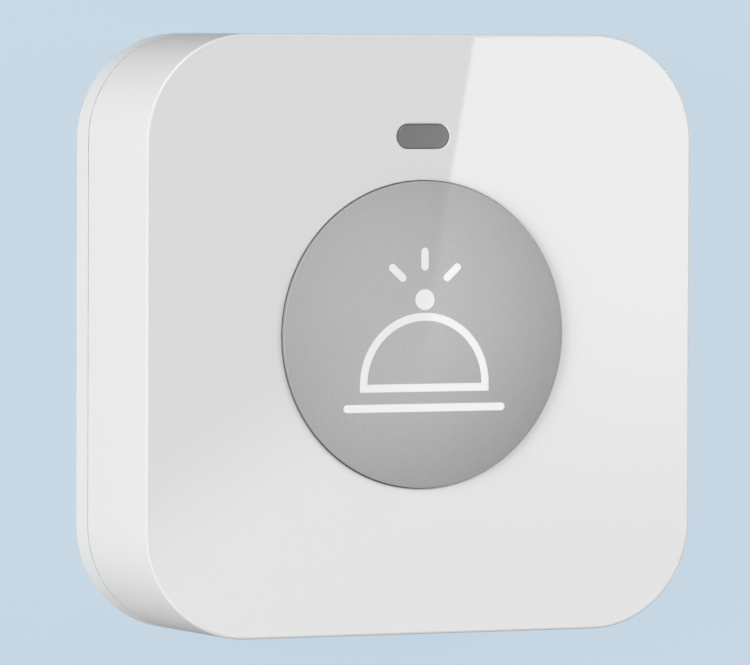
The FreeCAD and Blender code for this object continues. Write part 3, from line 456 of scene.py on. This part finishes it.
# What some of them set on the shader itself
shaderValues = {
    "housing": {"Specular IOR Level": 0.0, "Coat Roughness": 0.012, "Coat IOR": 1.5},
    "rear": {"Specular IOR Level": 0.2},
    "print": {"Coat Weight": 0.6, "Coat Roughness": 0.03},
    "lamp": {"Transmission Weight": 0.85, "IOR": 1.52},
}
# Metals: name, tint, stretch of the streaks, gloss, unevenness
metals = {
    "steel": ("platedSteel", 0.62, (600, 600, 4000), 0.25, 0.2),
    "wire": ("springWire", 0.5, (3000, 3000, 400), 0.28, 0.3),
    "tin": ("tinPlate", (0.72, 0.713, 0.706), (300, 2500, 2500), 0.3, 0.25),
    "copper": ("bareCopper", (0.72, 0.36, 0.2), (300, 2500, 2500), 0.3, 0.3),
    "cell": ("cellSteel", 0.7, (900, 900, 900), 0.22, 0.2),
}
# The cap's silver lacquer, with its radius, the lit middle of its painted shade and its lower edge in metres;
# below the edge the tint is darker, partly as painted shade
silver = {
    "Tint": 0.538, "Flake": 0.07, "Gloss": 0.45, "Fade": 0.207, "Radius": 0.0153,
    "Middle": (-0.0043, 0.0031, 0), "Edge": 0.01925, "Bare": 0.8,
}
silverShader = {"Metallic": 0.04, "Specular IOR Level": 0.2, "Coat Weight": 0.35, "Coat Roughness": 0.03}

finishes = {"cap": newMaterial("capSilver", lacquer, silver, (0.05, 0.01), **silverShader)}
for finish, (name, *values, bump) in plastics.items():
    values = dict(zip(("Tint", "Dust", "Grain", "Gloss", "Marks"), values))
    finishes[finish] = newMaterial(name, moulded, values, bump, **shaderValues.get(finish, {}))
for finish, (name, *values) in metals.items():
    values = dict(zip(("Tint", "Stretch", "Gloss", "Uneven"), values))
    finishes[finish] = newMaterial(name, rolled, values, Metallic=1.0)

# The face is polished and the side walls are satin: the coat sets in halfway round the face's edge
polish = {"from": 18.82, "to": 18.87, "sides": 0.0, "face": 1.0}
tree = finishes["housing"].node_tree
level = addNode(tree, "SeparateXYZ")
tree.links.new(objectPlace(tree), level.inputs[0])
span, weights = (polish["from"] * mm, polish["to"] * mm), (polish["sides"], polish["face"])
coat = ramp(tree, level.outputs["Z"], span, weights)
tree.links.new(coat, tree.nodes["Principled BSDF"].inputs["Coat Weight"])

nodeFinishes = {
    "steel": "cover_screws board_screws switch_cover crystal_can",
    "lamp": "indicator_led",
    "tin": "led_leads switch_terminals positive_contact negative_contact",
    "board": "circuit_board",
    "black": "switch_base switch_plunger radio_chip chip_parts cell_holder",
    "copper": "antenna_loop",
    "cell": "coin_cell",
}
for finish, nodeNames in nodeFinishes.items():
    for nodeName in nodeNames.split():
        paint(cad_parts[nodeName], finishes[finish])
print("stage: materials ready")


# Front cover: one glossy moulding with the button's well
front = {
    "halfWidth": 30.0, "cornerRadius": 10.8, "edgeRound": 0.25, "faceLevel": 18.9, "seamLevel": 4.1,
    "seamGap": 0.085, "sideWall": 2.0, "innerFace": 16.7, "wellRadius": 15.4, "wellRim": 0.16,
    "wellFloor": 12.5, "wellUnder": 11.1, "cupRadius": 17.0, "openingRadius": 4.8,
    "windowPlace": 19.8, "windowLength": 5.73, "windowWidth": 2.49, "windowRim": 0.2, "flare": 82.0,
    "slotNear": 9.6, "slotFar": 11.4, "slotHalf": 1.7,
    "bossPlace": 21.5, "bossRadius": 2.75, "bossLevel": 4.2, "ribHalf": 0.5, "ribInset": 1.0,
    "ribLevel": 5.75, "pilotRadius": 1.06, "pilotTop": 12.0,
}
squareRing = squareOutline(front["halfWidth"], front["cornerRadius"])


def frontCover():
    # One closed section round the square outline: up the side wall, over the face, down the well,
    # out under its floor and back along the inside. Bosses and ribs are joined and holes are cut.
    f, half, inner = front, front["halfWidth"], front["halfWidth"] - front["sideWall"]
    seam, face, inside = f["seamLevel"] + f["seamGap"], f["faceLevel"], f["innerFace"]
    shell = loftPart(squareRing, [
        (half, seam),
        (half, face, f["edgeRound"]),
        (f["wellRadius"], face, f["wellRim"], "round"),
        (f["wellRadius"], f["wellFloor"], wide, "round"),
        (f["openingRadius"], f["wellFloor"], small, "round"),
        (f["openingRadius"], f["wellUnder"], fine, "round"),
        (f["cupRadius"], f["wellUnder"], wide, "round"),
        (f["cupRadius"], inside, soft, "round"),
        (inner, inside, root),
        (inner, seam, hair),
    ], closed=True, arcStep=6.0)
    piece = makePiece("frontShell", [shell], "housing", ["front_cover"])
    place, rib = f["bossPlace"], f["ribHalf"]
    boss = lathePart([
        (0, f["bossLevel"]), (f["bossRadius"], f["bossLevel"], soft),
        (f["bossRadius"], inside + sink), (0, inside + sink),
    ], 48, x=place, y=place)
    low, high = (place - rib, place + f["ribInset"]), (place + rib, inner + sink)
    ribs = [blockPart((*a, f["ribLevel"]), (*b, inside + sink))
            for a, b in ((low, high), (low[::-1], high[::-1]))]
    for part in (boss, *ribs):
        join(piece, part, halves)
    slot = blockPart((-f["slotHalf"], f["slotNear"], f["wellUnder"] - through),
                     (f["slotHalf"], f["slotFar"], f["wellFloor"] + through))
    pin, low, top = f["pilotRadius"], f["bossLevel"] - through, f["pilotTop"]
    pilot = lathePart([(0, low), (pin, low), (pin, top), (0, top)], 32, x=place, y=place)
    cuts = [turnPart(slot, turn) for turn in thirds] + [turnPart(pilot, turn) for turn in halves]
    # The window's hole flares at the face in a quarter round, so that its rim catches the light
    rim, radius = f["windowRim"], f["windowWidth"] / 2
    flare = np.linspace(0, math.radians(f["flare"]), 9)
    cuts.append(loftPart(oblongOutline(f["windowLength"], radius), [
        (radius, inside - through),
        *[(radius + rim * (1 - math.cos(a)), face - rim + rim * math.sin(a)) for a in flare],
        (radius + rim, face + through),
    ], y=f["windowPlace"]))
    carve(piece, cuts)
    dress(piece, finishes["housing"], 30)


# Rear cover: tray with a lip inside the front cover, posts, screw seats and the battery door's bayonet
rear = {
    "backLevel": 0.6, "bevel": 0.5, "lipOuter": 27.85, "lipInner": 26.65, "lipTop": 5.6,
    "floorLevel": 2.6, "stepRadius": 14.4, "stepLevel": 1.9, "boreRadius": 11.55,
    "postHalf": 2.0, "postX": 22.0, "postY": 9.0, "postTop": 7.6, "postPilot": 0.86, "pilotDepth": 4.9,
    "seatHalf": 3.3, "seatTop": 4.2, "recessRadius": 4.1, "recessRim": 0.15, "recessLevel": 1.6,
    "headRadius": 2.2, "headLevel": 3.0, "holeRadius": 1.25, "ribHalf": 0.5, "ribHeight": 1.4,
    "notchHalf": 2.55, "notchNear": 9.0, "notchReach": 12.55, "stopNear": 11.8, "stopLength": 1.6,
    "stopWidth": 1.2, "stopHeight": 0.9, "turn": 25.0,
}


def rearCover():
    # One closed section round the square outline: down the side, over the bevelled back, up the
    # door's step and bore, along the floor and round the lip. The rest is joined and cut.
    r, half = rear, front["halfWidth"]
    back, level, place = r["backLevel"], r["floorLevel"], front["bossPlace"]
    seam = front["seamLevel"] - front["seamGap"]
    shell = loftPart(squareRing, [
        (half, seam),
        (half, back + r["bevel"], broad),
        (half - r["bevel"], back, broad),
        (r["stepRadius"], back, small, "round"),
        (r["stepRadius"], r["stepLevel"], fine, "round"),
        (r["boreRadius"], r["stepLevel"], fine, "round"),
        (r["boreRadius"], level, fine, "round"),
        (r["lipInner"], level, root),
        (r["lipInner"], r["lipTop"], small),
        (r["lipOuter"], r["lipTop"], broad),
        (r["lipOuter"], seam),
    ], closed=True)
    piece = makePiece("rearShell", [shell], "housing", ["rear_cover"])
    post = r["postHalf"]
    for x, y in [(sx * r["postX"], sy * r["postY"]) for sx, sy in signs]:
        join(piece, blockPart((x - post, y - post, level - sink), (x + post, y + post, r["postTop"])))
    low, high = place - r["seatHalf"], place + r["seatHalf"]
    seat = blockPart((low, low, level - sink), (high, high, r["seatTop"]))
    stop = blockPart((r["stopNear"], -r["notchHalf"] - r["stopWidth"], level - sink),
                     (r["stopNear"] + r["stopLength"], -r["notchHalf"], level + r["stopHeight"]))
    rib = blockPart((r["stepRadius"], -r["ribHalf"], level - sink),
                    (r["lipInner"] + sink, r["ribHalf"], level + r["ribHeight"]))
    join(piece, seat, halves)
    join(piece, turnPart(stop, -r["turn"]), thirds)
    join(piece, rib, range(0, 360, 90))
    rim, recess = r["recessRim"], r["recessRadius"]
    carve(piece, [lathePart([
        (0, back - through), (recess + rim, back - through), (recess + rim, back), (recess, back + rim),
        (recess, r["recessLevel"]), (0, r["recessLevel"]),
    ], 64, x=sx * place, y=sy * place) for sx, sy in signs])
    head, hole, top = r["headRadius"], r["holeRadius"], r["seatTop"] + through
    screw = lathePart([
        (0, back - through), (head, back - through), (head, r["headLevel"]), (hole, r["headLevel"]),
        (hole, top), (0, top),
    ], 40, x=place, y=place)
    pin, top, low = r["postPilot"], r["postTop"] + through, r["postTop"] - r["pilotDepth"]
    pilot = lathePart([(0, top), (pin, top), (pin, low), (0, low)], 32, x=r["postX"], y=r["postY"])
    notch = blockPart((r["notchNear"], -r["notchHalf"], back - through),
                      (r["notchReach"], r["notchHalf"], level + through))
    carve(piece, [turnPart(part, turn) for part in (screw, pilot) for turn in halves]
          + [turnPart(notch, turn) for turn in thirds])
    dress(piece, finishes["rear"], 30)


# Battery door: a quarter-turn disc with a coin slot, a spigot and three tabs
door = {
    "radius": 14.2, "rimLevel": 1.4, "edgeRound": 0.2, "spigotOuter": 11.4, "spigotInner": 10.3,
    "spigotTop": 3.55, "spigotRound": 0.12, "centreLevel": 2.4, "tabNear": 10.85, "tabReach": 12.3,
    "tabHalf": 2.3, "tabLow": 2.75, "tabStep": 0.001, "turn": 25.0,
    "slotLength": 14.0, "slotWidth": 2.2, "slotDepth": 1.0, "slotRim": 0.15, "slotEase": 0.3, "slotCore": 0.3,
}


def batteryDoor():
    # A section turned round the middle, with the tabs joined on and the coin slot cut out.
    d, back = door, rear["backLevel"]
    disc = lathePart([
        (0, back), (d["radius"], back, d["edgeRound"]), (d["radius"], d["rimLevel"], hair),
        (d["spigotOuter"], d["rimLevel"]), (d["spigotOuter"], d["spigotTop"], d["spigotRound"]),
        (d["spigotInner"], d["spigotTop"], d["spigotRound"]), (d["spigotInner"], d["centreLevel"], soft),
        (0, d["centreLevel"]),
    ], 192)
    piece = makePiece("doorDisc", [disc], "door", ["battery_door"])
    tab = blockPart((d["tabNear"], -d["tabHalf"], d["tabLow"]),
                    (d["tabReach"], d["tabHalf"], d["spigotTop"] - d["tabStep"]))
    join(piece, turnPart(tab, -d["turn"]), thirds)
    width, rim, deep = d["slotWidth"] / 2, d["slotRim"], back + d["slotDepth"]
    ease = d["slotEase"] * rim
    carve(piece, [loftPart(oblongOutline(d["slotLength"], width), [
        (width + rim, back - through), (width + rim, back), (width + ease, back + ease),
        (width, back + rim), (width, deep, wide), (d["slotCore"], deep),
    ])])
    dress(piece, finishes["rear"], 30)


# Door seal: a flat silicone ring on the door's rim
seal = {"inner": 13.0, "outer": 14.2, "low": 1.4, "high": 1.85}


def doorSeal():
    # A closed section turned round the middle.
    corners = [("inner", "low"), ("outer", "low"), ("outer", "high"), ("inner", "high")]
    ring = lathePart([(seal[across], seal[level], small) for across, level in corners], 160, closed=True)
    dress(makePiece("doorRing", [ring], "door", ["door_seal"]), finishes["seal"])


# Feet: four soft discs in the rear cover's recesses
feet = {"radius": 4.0, "top": 1.6, "edgeRound": 0.3, "dishDepth": 0.08, "dishRadius": 2.9, "dishSlope": 0.3}


def rubberFeet():
    # Each foot is a section with a shallow dish underneath, turned about the foot's own middle.
    f, place = feet, front["bossPlace"]
    parts = [lathePart([
        (0, f["dishDepth"]), (f["dishRadius"] - f["dishSlope"], f["dishDepth"], soft),
        (f["dishRadius"], 0, fine), (f["radius"], 0, f["edgeRound"]), (f["radius"], f["top"], fine),
        (0, f["top"]),
    ], 64, x=sx * place, y=sy * place) for sx, sy in signs]
    dress(makePiece("feetDiscs", parts, "housing", ["rubber_feet"]), finishes["rubber"], 30)


# Button cap: a slightly crowned silver disc with a skirt, a centre post, ribs and three hooks
cap = {
    "radius": 15.35, "top": 19.45, "crown": 0.12, "flatEdge": 0.8, "edgeRound": 0.06, "inside": 17.95,
    "skirtInner": 14.2, "skirtBottom": 13.4, "postRadius": 2.0, "postBottom": 13.75,
    "ribInner": 6.95, "ribHalf": 0.4, "ribHeight": 1.0,
    "hookNear": 10.0, "hookFar": 11.2, "hookTip": 12.1, "hookHalf": 1.5, "hookFoot": 10.1,
    "hookCatch": 10.95, "hookLead": 0.35,
}


def capLevel(distance):
    # The cap's top falls away from its middle with the square of the distance.
    return cap["top"] - cap["crown"] * (distance / cap["radius"]) ** 2


def buttonCap():
    # A section turned round the middle: the crowned top, the skirt, the flat inside and the post.
    c = cap
    radius, inside = c["radius"], c["inside"]
    body = lathePart([
        *[(float(r), float(capLevel(r))) for r in np.linspace(0, radius - c["flatEdge"], 24)],
        (radius, float(capLevel(radius)), c["edgeRound"]), (radius, c["skirtBottom"], small),
        (c["skirtInner"], c["skirtBottom"], small), (c["skirtInner"], inside, wide),
        (c["postRadius"], inside, wide), (c["postRadius"], c["postBottom"], small), (0, c["postBottom"]),
    ], 256)
    piece = makePiece("capDisc", [body], "button", ["button_cap"])
    rib = blockPart((c["ribInner"], -c["ribHalf"], inside - c["ribHeight"]),
                    (c["skirtInner"] + sink, c["ribHalf"], inside + sink))
    near, far, tip, catch = c["hookNear"], c["hookFar"], c["hookTip"], c["hookCatch"]
    hook = prismPart([
        (near, inside + sink), (near, c["hookFoot"]), (far, c["hookFoot"]), (tip, catch - c["hookLead"]),
        (tip, catch), (far, catch), (far, inside + sink),
    ], c["hookHalf"])
    join(piece, rib, range(0, 360, 60))
    join(piece, hook, thirds)
    dress(piece, finishes["cap"], 30)


# Printed bell on the cap: a plain service-bell sign, as a thin layer of ink that follows the crown
bell = {
    "ink": 0.025, "under": 0.05, "stroke": 0.8, "domeRadius": 6.7, "footLevel": -5.3, "baseHalf": 8.9,
    "baseLevel": -7.3, "knobRadius": 1.05, "knobGap": 0.25, "rayNear": 2.9, "rayFar": 5.2,
    "rayTurns": (48.0, 0.0, -48.0), "blunt": 0.12, "knobExtra": 0.001,
}


def strokePart(path, width, columns=7):
    # A band of ink along a path: the edge points lie half the width to each side of the path, and the
    # section runs along the top and back underneath.
    path, width = np.asarray(path, float), np.broadcast_to(width, len(path)).astype(float)
    way = np.gradient(path, axis=0)
    way /= norm(way, axis=1)[:, None]
    side = np.column_stack([-way[:, 1], way[:, 0]])
    share = np.concatenate([np.linspace(-1, 1, columns), np.linspace(1, -1, columns)])
    flat = path[:, None] + side[:, None] * share[None, :, None] * width[:, None, None] / 2
    layer = np.concatenate([np.full(columns, bell["ink"]), np.full(columns, -bell["under"])])
    level = capLevel(norm(flat, axis=2)) + layer
    return gridPart(np.concatenate([flat, level[..., None]], axis=2))


def roundStroke(start, end, width):
    # A straight stroke with half-round ends: near an end, its width is the chord of a circle. The
    # first row is a narrow chord, where the end closes.
    start, end = np.array(start, float), np.array(end, float)
    length = norm(end - start)
    lead = width / 2 * (1 - np.cos(np.linspace(bell["blunt"], math.pi / 2, 9)))
    middle = np.linspace(lead[-1], length - lead[-1], 30)[1:-1]
    along = np.concatenate([lead, middle, length - lead[::-1]])
    inwards = np.minimum(np.minimum(along, length - along), width / 2)
    path = start + (end - start) * along[:, None] / length
    return strokePart(path, 2 * np.sqrt(inwards * (width - inwards)))


def bellSign():
    # A half circle for the dome, straight strokes for its foot, the base and the rays, and a knob,
    # which is a stroke barely longer than it is wide.
    b = bell
    stroke, radius, reach = b["stroke"], b["domeRadius"], b["knobRadius"]
    middle = b["footLevel"] + stroke / 2
    turn = np.radians(np.linspace(0, 180, 73))
    dome = np.column_stack([radius * np.cos(turn), middle + radius * np.sin(turn)])
    foot = np.column_stack([np.linspace(-1, 1, 41) * (radius + stroke / 2), np.full(41, b["footLevel"])])
    knob = middle + radius + stroke / 2 + b["knobGap"] + reach
    parts = [
        strokePart(dome, stroke), strokePart(foot, stroke),
        roundStroke((-b["baseHalf"], b["baseLevel"]), (b["baseHalf"], b["baseLevel"]), stroke),
        roundStroke((0, knob - reach), (0, knob + reach + b["knobExtra"]), 2 * reach),
    ]
    for degrees in b["rayTurns"]:
        way = np.array([math.sin(math.radians(degrees)), math.cos(math.radians(degrees))])
        parts.append(roundStroke([0, knob] + way * b["rayNear"], [0, knob] + way * b["rayFar"], stroke))
    dress(makePiece("bellInk", parts, "button"), finishes["print"])


# Indicator window: a smoke-coloured oblong with a flange behind the face
window = {
    "length": 5.66, "width": 2.42, "place": 19.8, "flange": 0.9, "low": 15.9, "step": 16.7, "top": 18.9,
    "edge": 0.15, "core": 0.6,
}


def lightWindow():
    # A stepped section carried round an oblong.
    w, radius = window, window["width"] / 2
    flange = radius + w["flange"]
    lens = loftPart(oblongOutline(w["length"], radius), [
        (w["core"], w["low"]), (flange, w["low"], fine), (flange, w["step"], fine),
        (radius, w["step"]), (radius, w["top"], w["edge"]), (w["core"], w["top"]),
    ], y=w["place"])
    dress(makePiece("windowLens", [lens], "housing", ["light_window"]), finishes["window"])


# Return spring: a wire wound round the cap's post, closed up at both ends
spring = {
    "radius": 6.4, "wire": 0.5, "turns": 2.25, "low": 12.534, "high": 17.947, "travel": 0.5,
    "rows": 260, "columns": 16,
}


def returnSpring():
    # The wire's middle is a helix, and its ring stands square to the way that the helix runs.
    s, wire = spring, spring["wire"] / 2
    height = s["high"] - s["low"]
    share = np.linspace(0, 1, s["rows"])
    turn = 2 * math.pi * s["turns"] * share
    level = s["low"] + wire + (height - 2 * wire) * share
    path = np.column_stack([s["radius"] * np.cos(turn), s["radius"] * np.sin(turn), level])
    way = np.gradient(path, axis=0)
    way /= norm(way, axis=1)[:, None]
    out = np.column_stack([np.cos(turn), np.sin(turn), np.zeros(s["rows"])])
    up = np.cross(way, out)
    ring = np.linspace(0, 2 * math.pi, s["columns"], endpoint=False)[None, :, None]
    tube = path[:, None] + wire * (out[:, None] * np.cos(ring) + up[:, None] * np.sin(ring))
    piece = makePiece("springCoil", [gridPart(tube)], "housing", ["button_return_spring"])
    dress(piece, finishes["wire"], 50)
    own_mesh(piece)


# Snap disc: a thin bowed disc on four feet, pushed flat by the plunger. Its travel is a hair more
# than the plunger's, so that the two never cut into each other.
snap = {
    "radius": 2.06, "waist": 1.35, "low": 11.1, "height": 0.55, "wall": 0.12, "travel": 0.32,
    "lobes": 4, "lobeMiddle": 0.5, "lobeSwing": 0.9,
}


def snapDisc():
    # The rim swings four times between the waist and the full radius; the level falls from the
    # middle with the square of the distance, and the underside runs a wall's thickness below.
    s = snap
    turn = np.linspace(0, 2 * math.pi, 96, endpoint=False)
    swing = np.clip(s["lobeMiddle"] + s["lobeSwing"] * np.cos(s["lobes"] * turn), 0, 1)
    rim = s["waist"] + (s["radius"] - s["waist"]) * swing
    share = np.linspace(0, 1, 13)[:, None]
    flat = np.stack([share * rim * np.cos(turn), share * rim * np.sin(turn)], -1)
    fall = (s["height"] - s["wall"]) * (norm(flat, axis=2) / s["radius"]) ** 2
    level = (s["low"] + s["height"] - fall)[..., None]
    top = np.concatenate([flat, level], axis=2)
    under = np.concatenate([flat, level - s["wall"]], axis=2)
    grid = gridPart(np.concatenate([top, under[::-1]], axis=0), poles=True)
    piece = makePiece("snapDisc", [grid], "housing", ["switch_dome"])
    dress(piece, finishes["wire"], 40)
    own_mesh(piece)


frontCover()
rearCover()
batteryDoor()
doorSeal()
rubberFeet()
buttonCap()
bellSign()
lightWindow()
returnSpring()
snapDisc()
print("stage: pieces made")


# Camera: the photograph's viewpoint, seen through a long lens from the object's left
shot = {
    "yaw": 24.942, "pitch": 2.168, "roll": -0.203, "right": 4.746, "up": -0.203, "distance": 787.8,
    "lens": 378.4, "sensor": 36.0, "wide": 750, "high": 665, "clipFrom": 0.01, "clipTo": 10.0,
}


def placeCamera():
    # Three turns one after the other take the object's axes to the camera's: yaw, pitch, roll.
    turn = np.eye(3)
    for key, (first, second) in {"yaw": (2, 0), "pitch": (1, 2), "roll": (0, 1)}.items():
        angle, step = math.radians(shot[key]), np.eye(3)
        step[first, first] = step[second, second] = math.cos(angle)
        step[second, first], step[first, second] = math.sin(angle), -math.sin(angle)
        turn = step @ turn
    place = -turn.T @ np.array([shot["right"], shot["up"], -shot["distance"]]) + [0, 0, front["faceLevel"]]
    data = bpy.data.cameras.new("camera")
    data.lens, data.sensor_width = shot["lens"], shot["sensor"]
    data.clip_start, data.clip_end = shot["clipFrom"], shot["clipTo"]
    camera = newObject("camera", data)
    camera.matrix_world = Matrix.Translation(Vector(place * mm)) @ Matrix(turn.T.tolist()).to_4x4()
    bpy.context.scene.camera = camera
    return turn, place


cameraTurn, cameraPlace = placeCamera()


# Studio: pale blue floor, even sky and soft lamps. "bounce" is what the floor gives back to the
# object, "shadow" how much of the object's shadow it shows, and "low" where the sky ends below.
studio = {
    "floor": (0.588, 0.700, 0.799), "backdrop": (0.571, 0.680, 0.776), "bounce": 0.16, "shadow": 0.12,
    "floorReach": 2000.0, "sky": 0.46, "skyEdge": (-0.02, 0.0), "low": (0.1, 0.6),
}
# A large key from the left, a fill from the right, and a lamp below that only the underside gets
lamps = {
    "keyLamp": {"way": (-0.93, 0.08, 0.30), "size": 520.0, "power": 0.70},
    "fillLamp": {"way": (0.70, 0.28, 0.66), "size": 520.0, "power": 0.32},
    "underLamp": {"way": (0.0, 0.0, -1.0), "size": 260.0, "power": 0.75},
}
lampDistance = 900.0
# The glare on the face in pixels of the picture: right of a slanting line, and along the low edge
glare = {
    "distance": 700.0, "lineTop": (475.0, 35.0), "lineLow": (435.0, 269.0), "soft": 2.0,
    "right": 3.6, "rightLow": 2.0, "rightFrom": 270.0, "rightTo": 590.0,
    "low": 2.12, "lowFrom": 440.0, "lowTo": 590.0, "slant": (0.56, 0.83),
    "cardFrom": (-150.0, -300.0), "cardTo": (1200.0, 1000.0), "unit": 1000.0,
}
# Two soft cards high at the left, which the face's rounded edge shows along its two left corners
glints = {"ways": [(-0.22, 0.56, 0.80), (-0.22, -0.56, 0.80)], "distance": 500.0, "size": 600.0, "light": 5.5}


def stageMaterial(name):
    material = bpy.data.materials.new(name)
    material.use_nodes = True
    material.node_tree.nodes.clear()
    return material, material.node_tree, addNode(material.node_tree, "OutputMaterial")


def flatSheet(name, low, high):
    # A rectangle between two corners.
    mesh = bpy.data.meshes.new(name)
    mesh.from_pydata([(*low, 0), (high[0], low[1], 0), (*high, 0), (low[0], high[1], 0)], [], [(0, 1, 2, 3)])
    return mesh


def mirroredRays(tree, path):
    # Gloss and glass show the background too.
    return mathNode(tree, "MAXIMUM", path.outputs["Is Glossy Ray"], path.outputs["Is Transmission Ray"])


def makeFloor():
    material, tree, output = stageMaterial("floorBlue")
    glow, matte = addNode(tree, "Emission"), addNode(tree, "BsdfDiffuse")
    dim, clear = addNode(tree, "BsdfDiffuse"), addNode(tree, "BsdfTransparent")
    glow.inputs["Color"].default_value = matte.inputs["Color"].default_value = colour(studio["floor"])
    dim.inputs["Color"].default_value = colour(studio["bounce"])
    path, back = addNode(tree, "LightPath"), addNode(tree, "NewGeometry")
    blend, show, under = (addNode(tree, "MixShader") for _ in range(3))
    shown = mathNode(tree, "MAXIMUM", path.outputs["Is Camera Ray"], mirroredRays(tree, path))
    blend.inputs[0].default_value = 1 - studio["shadow"]
    connect(
        tree,
        (matte.outputs[0], blend.inputs[1]), (glow.outputs[0], blend.inputs[2]),
        (shown, show.inputs[0]), (dim.outputs[0], show.inputs[1]), (blend.outputs[0], show.inputs[2]),
        (back.outputs["Backfacing"], under.inputs[0]), (show.outputs[0], under.inputs[1]),
        (clear.outputs[0], under.inputs[2]), (under.outputs[0], output.inputs["Surface"]),
    )
    reach = studio["floorReach"] * mm
    mesh = flatSheet("floor", (-reach, -reach), (reach, reach))
    mesh.materials.append(material)
    floor = newObject("floor", mesh)
    floor.visible_shadow = False  # the lamp under the floor reaches the underside


def makeWorld():
    # An even sky above the floor and nothing below it. The camera sees the backdrop's colour behind the
    # object, and so do gloss and glass where they look low.
    world = bpy.data.worlds.new("world")
    bpy.context.scene.world = world
    world.use_nodes = True
    tree = world.node_tree
    sky, output = tree.nodes["Background"], tree.nodes["World Output"]
    backdrop, pick = addNode(tree, "Background"), addNode(tree, "MixShader")
    height, path = addNode(tree, "SeparateXYZ"), addNode(tree, "LightPath")
    tree.links.new(addNode(tree, "TexCoord").outputs["Generated"], height.inputs[0])
    low = ramp(tree, height.outputs["Z"], studio["low"], (1.0, 0.0))
    mirrored = mathNode(tree, "MULTIPLY", mirroredRays(tree, path), low)
    shown = mathNode(tree, "MAXIMUM", path.outputs["Is Camera Ray"], mirrored)
    sky.inputs["Color"].default_value = colour(1.0)
    backdrop.inputs["Color"].default_value = colour(studio["backdrop"])
    connect(
        tree,
        (ramp(tree, height.outputs["Z"], studio["skyEdge"], (0.0, studio["sky"])), sky.inputs["Strength"]),
        (shown, pick.inputs[0]), (sky.outputs[0], pick.inputs[1]), (backdrop.outputs[0], pick.inputs[2]),
        (pick.outputs[0], output.inputs["Surface"]),
    )


def aimedLamp(name, way, size, power):
    # The power is the share of white that the lamp gives a surface facing it: a Lambert disc of
    # radiance L and area A lights that surface by L x A / distance squared, and shines pi x L x A watts.
    way = Vector(way).normalized()
    data = bpy.data.lights.new(name, "AREA")
    data.shape, data.size = "DISK", size * mm
    data.energy = power * math.pi * math.pi * (lampDistance * mm) ** 2
    lamp = newObject(name, data)
    lamp.location = way * lampDistance * mm
    lamp.rotation_mode = "QUATERNION"
    lamp.rotation_quaternion = way.to_track_quat("Z", "Y")
    lamp.visible_glossy = False


def glossCard(name, mesh, strength, spot):
    # A card that shines only in reflections. strength builds the nodes that set its light.
    material, tree, output = stageMaterial(name)
    shine = addNode(tree, "Emission")
    connect(tree, (strength(tree), shine.inputs["Strength"]), (shine.outputs[0], output.inputs["Surface"]))
    mesh.materials.append(material)
    card = newObject(name, mesh)
    card.visible_camera = card.visible_diffuse = card.visible_shadow = False
    card.visible_transmission = card.visible_volume_scatter = False
    card.matrix_world = spot


def mirroredPoint(across, down):
    # The picture's point (across, down) seen in the face as in a mirror: where the camera's ray meets
    # the face, and the direction in which it goes on.
    focal = shot["lens"] / shot["sensor"] * shot["wide"]
    aim = [(across - shot["wide"] / 2) / focal, -(down - shot["high"] / 2) / focal, -1.0]
    ray = cameraTurn.T @ np.array(aim)
    hit = cameraPlace + ray * (front["faceLevel"] - cameraPlace[2]) / ray[2]
    return hit, ray * [1, 1, -1]


def glareCard():
    # The card's own coordinates are the picture's pixels / 1000, so its light is written in pixels.
    g, unit = glare, glare["unit"]
    centre, outwards = mirroredPoint(shot["wide"] / 2, shot["high"] / 2)
    normal = outwards / norm(outwards)
    origin = centre + normal * g["distance"]

    def onCard(across, down):
        hit, bounce = mirroredPoint(across, down)
        return hit + bounce * ((origin - hit) @ normal) / (bounce @ normal)

    corner, sideways, downwards = onCard(0, 0), onCard(unit, 0), onCard(0, unit)
    axes = np.column_stack([(sideways - corner) * mm, (downwards - corner) * mm, normal])
    lean = (g["lineLow"][0] - g["lineTop"][0]) / (g["lineLow"][1] - g["lineTop"][1])

    def light(tree):
        split = addNode(tree, "SeparateXYZ")
        tree.links.new(objectPlace(tree), split.inputs[0])
        across = mathNode(tree, "MULTIPLY", split.outputs[0], unit)
        down = mathNode(tree, "MULTIPLY", split.outputs[1], unit)
        line = mathNode(tree, "MULTIPLY_ADD", down, lean, g["lineTop"][0] - lean * g["lineTop"][1])
        right = ramp(tree, mathNode(tree, "SUBTRACT", across, line), (-g["soft"], g["soft"]), (0.0, 1.0))
        strong = ramp(tree, down, (g["rightFrom"], g["rightTo"]), (g["right"], g["rightLow"]))
        slant = mathNode(tree, "MULTIPLY", down, g["slant"][1])
        slant = mathNode(tree, "MULTIPLY_ADD", across, g["slant"][0], slant)
        weak = ramp(tree, slant, (g["lowFrom"], g["lowTo"]), (0.0, g["low"]))
        return mathNode(tree, "MAXIMUM", mathNode(tree, "MULTIPLY", right, strong), weak)

    mesh = flatSheet("glareCard", *(tuple(edge / unit for edge in g[end]) for end in ("cardFrom", "cardTo")))
    spot = Matrix.Translation(Vector(corner * mm)) @ Matrix(axes.tolist()).to_4x4()
    glossCard("glareCard", mesh, light, spot)


def glintCards():
    # Square cards whose light falls from the middle to nothing at the inscribed circle.
    half = glints["size"] / 2 * mm

    def light(tree):
        away = addNode(tree, "VectorMath", operation="LENGTH")
        tree.links.new(objectPlace(tree), away.inputs[0])
        return ramp(tree, away.outputs["Value"], (0.0, half), (glints["light"], 0.0))

    for number, way in enumerate(glints["ways"]):
        way = Vector(way).normalized()
        aim = way.to_track_quat("Z", "Y").to_matrix().to_4x4()
        sheet = flatSheet(f"glint{number}", (-half, -half), (half, half))
        glossCard(sheet.name, sheet, light, Matrix.Translation(way * glints["distance"] * mm) @ aim)


makeFloor()
makeWorld()
for lampName, lamp in lamps.items():
    aimedLamp(lampName, **lamp)
glareCard()
glintCards()
print("stage: studio ready")

bpy.context.scene.view_settings.view_transform = "Standard"
